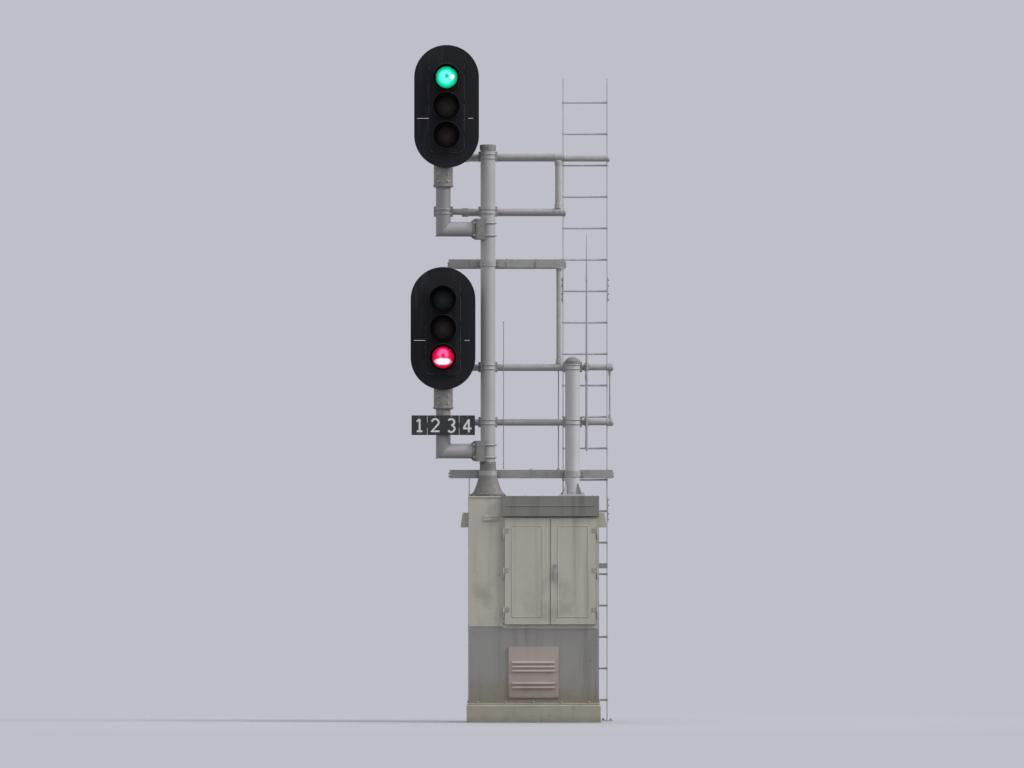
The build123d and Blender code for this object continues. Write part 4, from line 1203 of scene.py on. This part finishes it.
make("case_anchor_bolts", anchors, "galvanised")
mortar = carried(rectangle(2 * half_x + 8, 2 * half_y + 8) + (case_foot + 1) * Z, circle(8), Z, loop=True)
make("case_mortar", [mortar], "concrete")


# %% [markdown]
# The roof sheet is folded down round its edge and screwed from above. The hood over the doors
# keeps rain off their heads. Its lower edge is rolled, and a pressed rib keeps its face flat.

# %% Roof edge and hood trim
roof, hood = Box("case_roof"), Box("front_hood")
roof_x, roof_y, roof_top = roof.high
roof_ring = rectangle(2 * roof_x, 2 * roof_y) + roof.middle[2] * Z
make("roof_edge", [carried(roof_ring, circle(4), Z, loop=True)], "case_paint")
screws = []
for side in (-1, 1):
    screws.append(bolts(side_row(side * Y, roof_y - 18, roof_x - 60, roof_top, 8), Z, 6))
    screws.append(bolts(side_row(side * X, roof_x - 18, roof_y - 120, roof_top, 4), Z, 6))
make("roof_screws", screws, "galvanised")

(left, front, foot), (right, rear, top) = hood.low, hood.high
lip_path = [(left + 2, rear, foot), (left + 2, front + 2, foot),
            (right - 2, front + 2, foot), (right - 2, rear, foot)]
rib_z = hood.middle[2]
parts = [
    carried(lip_path, circle(4.5), Z),
    carried([(left + 45, front + 1, rib_z), (right - 45, front + 1, rib_z)], circle(6, 12), Z),
    rivets(row((left + 35, front, top - 18), (right - 35, front, top - 18), 9), -Y),
]
make("hood_trim", parts, "hood_paint")


# %% [markdown]
# Air enters the lower case through a louvred plate. Each slot has an eyebrow pressed out over it
# that sheds rain, and wire cloth behind that keeps wasps out, with a dark sheet of painted shade
# at the back of the cloth. A smaller louvre sits high on the left bay, with a dark strip of
# painted shade under each of its eyebrows.

# %% Louvres and wire cloth
def eyebrow(left, right, y, z, reach=14, drop=20, sheet=1.6):
    """A pressed hood over a slot. Its section is a quarter of an ellipse: (reach sin a, drop (cos a - 1))."""
    outer, inner = (arc(-drop * Y, (drop - less) * Y, (reach - less) * X, 0, 90, 7) for less in (0, sheet))
    shapes = [(left, right, np.vstack([outer, inner[::-1]]))]
    cheek = np.vstack([outer, -drop * Y])
    shapes += [(x - sheet / 2, x + sheet / 2, cheek) for x in (left, right)]
    return joined([carried([(start, y, z), (end, y, z)], outline, Z) for start, end, outline in shapes])


vent = Box("louvre_vent")
slot_left, slot_right, slot_tall = vent.low[0] + 40, vent.high[0] - 40, 12
slot_rows = spots(0, 0, vent.low[2] + (90, 130, 250, 290, 330))
slot_back = vent.middle[1]
cloth_pitch, cloth_wire, cloth_deep = 8, 1.2, 3
wire_xs = np.arange(slot_left, slot_right, cloth_pitch)
upright = block((0, slot_back - cloth_deep, 0), (cloth_wire, slot_back, slot_tall))
level_wire = block((slot_left, slot_back - cloth_deep, 0), (slot_right, slot_back, cloth_wire))
cloth = joined([placed(upright, spots(wire_xs, 0, 0)), placed(level_wire, spots(0, 0, (4, 12)))])
brow = eyebrow(slot_left - 6, slot_right + 6, vent.low[1], slot_tall + 8)
# A dark sheet at the back of each slot is painted shade for the inside of the case.
shade_sheets = [placed(block((slot_left, slot_back - 1, 0), (slot_right, slot_back, slot_tall)), slot_rows)]
wires = [placed(cloth, slot_rows)]
corners = rectangle(vent.size[0] - 32, vent.size[2] - 32, X, Z) + vent.middle * (1, 0, 1) + vent.low[1] * Y
places = [row(start, end, 5)[:-1] for start, end in zip(corners, np.roll(corners, -1, axis=0))]
make("vent_brows", [placed(brow, slot_rows)], "vent_paint")
make("vent_screws", [bolts(np.concatenate(places), -Y, 5)], "vent_paint")

bay_left, bay_foot, bay_right, bay_head = -486, 1938, -325, 1999
slot_left, slot_right = bay_left + 14, bay_right - 14
parts = [block((bay_left, -half_y - 4, bay_foot), (bay_right, -half_y, bay_head))]
for z in bay_foot + np.array((21, 38, 55)):
    parts.append(eyebrow(slot_left, slot_right, -half_y - 4, z, 12, 15))
    # A dark strip under each eyebrow is painted shade where the slot would open.
    shade_sheets.append(block((slot_left, -half_y - 5, z - 15), (slot_right, -half_y - 3.5, z - 3)))
make("bay_louvre", parts, "case_paint", edge=0.6)


# %% [markdown]
# The cowls near the roof let the warm air out at both sides. They are open below, with wires
# across and a dark sheet of painted shade just above them, and have flanges riveted to the walls.

# %% Cowls
cowl = Box("side_vents")
cowl_half, cowl_foot, cowl_head = cowl.high[1], cowl.low[2], cowl.high[2]
inner, outer = half_x + 6, cowl.high[0] - 5
flange_out = half_x + 2.5
wire_ys = np.arange(8 - cowl_half, cowl_half - 8, cloth_pitch)
parts = []
for side in (-1, 1):
    # A dark sheet across the cowl's open foot is painted shade.
    shade_sheets.append(block((side * inner, 6 - cowl_half, cowl_foot - 1),
                       (side * outer, cowl_half - 6, cowl_foot + 1)))
    wire = block((side * inner, 0, 0), (side * outer, 1.4, 1.4))
    wires.append(placed(wire, spots(0, wire_ys, cowl_foot - 2.2)))
    parts.append(block((side * half_x, -cowl_half, cowl_head),
                       (side * flange_out, cowl_half, cowl_head + 20)))
    for edge in (-1, 1):
        parts.append(block((side * half_x, edge * cowl_half, cowl_foot),
                           (side * flange_out, edge * (cowl_half + 20), cowl_head + 20)))
    rivet_zs = row(cowl_foot + 15, cowl_head + 10, 4)
    parts.append(rivets(spots(side * flange_out, (-cowl_half - 10, cowl_half + 10), rivet_zs), side * X, 4))
make("cowl_flanges", parts, "case_paint")
# The dark sheets in the openings are painted shade, in the black rubber finish.
make("vent_painted_shade", shade_sheets, "vent_paint", finish="rubber_and_shade_black")
make("vent_wires", wires, "galvanised")


# %% [markdown]
# ## Doors
# Both doors are pressed pans. A raised bead stiffens each face, and ribs and a rubber seal line the
# back. These pieces ride on their doors, so they swing with them.

# %% Door beads, seals and ribs
door = Box("door_left")
door_foot, door_head, door_back = door.low[2], door.high[2], door.high[1]
door_front = door_back - 24
hinge_zs = np.array((1060, 1440, 1820))


def door_ring(left, right, inset, y):
    """The corners of a rectangle on a door, an inset within its edges."""
    ring = rectangle(right - left - 2 * inset, door_head - door_foot - 2 * inset, X, Z)
    return ring + ((left + right) / 2, y, (door_foot + door_head) / 2)


for body, left, right in (("left_door", -277, 158), ("right_door", 164, 599)):
    hinge_x, inwards = (left, 1) if body == "left_door" else (right, -1)
    bead = carried(door_ring(left, right, 72, door_front + 1), circle(5, 12), Y, loop=True)
    hem = carried(door_ring(left, right, 2, door_front + 1.2), circle(2.6), Y, loop=True)
    make(f"{body}_bead", [bead, hem], "case_paint", body=body)
    leaf = block((hinge_x, door_front - 3, 3), (hinge_x + inwards * 40, door_front, 49))
    make(f"{body}_hinge_leaves", [placed(leaf, spots(0, 0, hinge_zs))], "galvanised", body=body, edge=1)
    seats = spots((hinge_x + inwards * 14, hinge_x + inwards * 30), door_front - 3, both(hinge_zs + 26, 13))
    make(f"{body}_hinge_rivets", [rivets(seats, -Y)], "galvanised", body=body)
    seal = carried(door_ring(left, right, 9, door_back + 0.5), rectangle(12, 4), Y, loop=True)
    make(f"{body}_seal", [seal], "case_paint", body=body, finish="rubber_and_shade_black", edge=1)
    ribs = []
    for x in left + (right - left) * np.array((0.3, 0.7)):
        ribs.append(block((x - 18, door_front + 2, door_foot + 24),
                          (x + 18, door_back + 3, door_head - 24)))
    for z in (1200, 1700):
        ribs.append(block((left + 24, door_front + 1, z - 15), (right - 24, door_back + 1.5, z + 15)))
    make(f"{body}_ribs", ribs, "case_paint", body=body, edge=3)


# %% [markdown]
# The right leaf has the handle, which turns a cam that pushes two rods up and down into the frame.
# The pins' heads stay on the case.

# %% Lock rods, handle plate and hinge pins
handle_x, handle_z = Box("door_handle").middle[0], 1450
rod_x, rod_y, plate_y = handle_x - 20, door_back - 5, door_front - 6
parts = [carried([(rod_x, rod_y, low), (rod_x, rod_y, high)], circle(5, 10), Y)
         for low, high in ((handle_z + 25, door_head - 12), (door_foot + 12, handle_z - 25))]
guide = block((-14, -9, -12), (14, -1, 12))
parts += [
    placed(turned([(34, 0), (34, 5)]), (handle_x, door_back - 9, handle_z), Y),
    bolts((handle_x, door_back - 4, handle_z), Y, 6),
    placed(guide, spots(rod_x, door_back - 1, (1010, 1300, 1600, 1900))),
]
make("lock_rods", parts, "galvanised", body="right_door")
parts = [
    placed(turned([(15, 0), (15, 3), (12, 6)]), (handle_x, plate_y, handle_z), -Y),
    placed(turned([(9, 0), (9, 2), (7, 4)], 20), (handle_x, plate_y, handle_z + 52), -Y),
    rivets(spots(both(handle_x, 14), plate_y, both(handle_z, 68)), -Y, 4),
]
make("handle_trim", parts, "galvanised", body="right_door")
# The keyhole is a thin dark block on the plate: painted shade where the slot would open.
slot = block((handle_x - 1.5, plate_y - 4.6, handle_z + 46), (handle_x + 1.5, plate_y - 3, handle_z + 57))
make("keyhole_painted_shade", [slot], "galvanised", body="right_door", finish="rubber_and_shade_black")
pin_head = turned([(6.5, 0), (6.5, 2), (4, 4)], 14)
make("hinge_pin_heads", [placed(pin_head, spots((-290, 612), -408, hinge_zs + 51))], "galvanised")


# %% [markdown]
# ## Ladder, rods and aerial
# The rungs pass through the stiles and are peened over outside and welded inside. Two splice plates
# join the lengths of each stile, and angle cleats bolt it to the platforms.

# %% Ladder joints
stile_xs, stile_y, stile_half = (287, 713), 595, 4.75
splice_thick, splice_wide, splice_half = 6, 24, 120
rung_zs = 204.8 + 304.8 * np.arange(20)
cleat_zs = {-1: [decks[level].high[2] - 40 for level in levels], 1: [decks["lower"].high[2] - 40]}
peened = turned([(12, 0), (11, 3), (6, 5), (0, 5.5)], 12)
welded = turned([(15.5, 0), (12, 3), (10, 5)], 14, 8)
joints, plates, screws = [], [], []
for x, side in zip(stile_xs, (-1, 1)):
    face, back = x + side * stile_half, x - side * stile_half
    joints.append(placed(peened, spots(face, stile_y, rung_zs), side * X))
    joints.append(placed(welded, spots(back, stile_y, rung_zs), -side * X))
    outer = face + side * splice_thick
    for z in (2050, 4180):
        plates.append(block((face, stile_y - splice_wide, z - splice_half),
                            (outer, stile_y + splice_wide, z + splice_half)))
        screws.append(bolts(spots(outer, stile_y, z + np.array((-95, -40, 40, 95))), side * X, 10))
    screws.append(bolts(spots(both(x, 38), stile_y, 10), Z, 14))
    screws.append(bolts(spots(back, stile_y - 12, both(cleat_zs[side], 14)), -side * X, 8))
make("rung_joints", joints, "galvanised")
make("ladder_splices", plates, "galvanised", edge=1)
make("ladder_bolts", screws, "galvanised")


# %% [markdown]
# The thin rods carry cables and small aerials; they end in nuts, and in little caps. The tall aerial
# is a tapering rod of wound glass fibre, with a metal ferrule at each change of diameter.

# %% Rod ends, aerial ferrules and clamps
rods = ((240, -3.25, 2432, 3492, 5.5), (-289, -73.65, 2443, 3856, 4), (-621, -39.2, 2180, 2352, 4))
parts = []
for x, y, low, high, radius in rods:
    nut = turned(radius * np.array([(2, 0), (2, 1.6)]), 6)
    parts.append(placed(nut, spots(x, y, (low, low + 2 * radius))))
    if high > decks["lower"].high[2]:
        tip = turned(radius * np.array([(1.7, 0), (1.8, 2), (1, 3.4), (0, 3.8)]), 12)
        parts.append(placed(tip, (x, y, high - radius)))
make("rod_ends", parts, "galvanised")

whip = Box("whip_antenna")
whip_x, whip_radius = whip.middle[0], 11.5
whip_y = whip.low[1] + whip_radius
rim = whip_radius + 3
ferrule = turned([(rim, -30), (rim, 22), (whip_radius, 30)], 20, (whip_radius - 1, whip_radius - 3))
thin_ferrule = turned([(10, -18), (10, 12), (7.5, 18)], 16, 6)
base_fitting = turned([(7, -34), (7, -16), (14, -14), (14, 60), (12, 66)], 16)
fittings = ((ferrule, 3330), (thin_ferrule, 4260), (base_fitting, 2645))
parts = [placed(part, (whip_x, whip_y, z)) for part, z in fittings]
for rail in (mid_rail["lower"], top_rail["lower"]):
    parts += [u_bolt((whip_x, whip_y, z), whip_radius, Z, Y, 26, 5) for z in both(rail, 12)]
    parts += [u_bolt((x, rail_y, rail), rail_radius, X, -Y, rail_radius + 6, 6) for x in both(whip_x, 14)]
make("aerial_fittings", parts, "galvanised")


# %% [markdown]
# ## Floor, light and camera
# The photograph was taken from far away through a long lens, level with the object's foot, so the
# camera stands 120 metres off at eye height. The sky was a bright even grey with some sun behind
# the cloud at the upper right, so a broad sun and an even sky share the light. The floor is pale
# and fades into the background, but keeps the shadow near the object. These lengths are in metres.

# %% Floor
backdrop = srgb(190, 191, 201)
bounce = srgb(104, 106, 102)
floor_radius = 120


def floor_finish():
    """Pale where it is seen, duller to the light it throws back up, and of the backdrop's colour far off."""
    f = Finish()
    distance = f.node("VectorMath", {0: f.place}, "Value", operation="LENGTH")
    seen = f.seen()
    colour = f.blend(seen, bounce, f.lighter(srgb(160, 161, 167), 0.97 + f.noise(0.8, 3) * 0.06))
    near = f.node("BsdfPrincipled", {"Base Color": colour, "Roughness": 1, "Specular IOR Level": 0})
    far = f.node("Emission", {"Color": backdrop, "Strength": 1})
    mixed = f.node("MixShader", {0: distance.fade(2, 8) * seen, 1: near, 2: far})
    f.node("OutputMaterial", {0: mixed}, None)
    f.owner.name = "floor"
    return f.owner


floor_mesh = bpy.data.meshes.new("floor")
floor_mesh.from_pydata(circle(floor_radius, 64), [], [list(range(64))])
floor_mesh.materials.append(floor_finish())
floor = bpy.data.objects.new("floor", floor_mesh)
bpy.context.scene.collection.objects.link(floor)
print("floor", floor_radius, "m")


# %% [markdown]
# The sky has two colours: one gives the light, and the other is what the camera sees.

# %% Sky and sun
scene = bpy.context.scene
scene.view_settings.view_transform = "Standard"
scene.world = bpy.data.worlds.new("sky")
sky = Nodes(scene.world)
lighting = sky.node("Background", {"Color": srgb(241, 242, 245), "Strength": 1.2})
shown = sky.node("Background", {"Color": backdrop})
mixed = sky.node("MixShader", {0: sky.seen(), 1: lighting, 2: shown})
sky.node("OutputWorld", {0: mixed}, None)

sun_light = bpy.data.lights.new("sun", "SUN")
sun_light.energy = 2.5
sun_light.angle = math.radians(20)
sun_light.color = (1.0, 0.98, 0.95)
sun = bpy.data.objects.new("sun", sun_light)
scene.collection.objects.link(sun)
sun.rotation_euler = (math.radians(52), 0, math.radians(76))
print("sky and sun")


# %% [markdown]
# The camera looks straight ahead and a little up, and its lens is as long as it takes for the
# object to fill the given share of the picture's height.

# %% Camera
camera_distance = 120.0
camera_height = 2.0
share_of_height = 0.88
sensor_width = 36.0
picture_shape = 1024 / 768
object_low, object_high = np.array(model_box)
object_middle = (object_low + object_high) / 2
seen_width = (object_high[2] - object_low[2]) / share_of_height * picture_shape
camera_data = bpy.data.cameras.new("camera")
camera_data.sensor_width = sensor_width
camera_data.lens = sensor_width * camera_distance / seen_width
camera_data.clip_end = 500.0
camera = bpy.data.objects.new("camera", camera_data)
scene.collection.objects.link(camera)
camera.location = (object_middle[0], object_middle[1] - camera_distance, camera_height)
pitch = math.atan2(object_middle[2] - camera_height, camera_distance)
camera.rotation_euler = (math.radians(90) + pitch, 0, 0)
scene.camera = camera
print("camera lens", round(camera_data.lens, 1), "mm")


# %% [markdown]
# Last, the number of new pieces and their triangles is printed.

# %% Piece count and the end
bpy.context.view_layer.update()
print(piece_count)
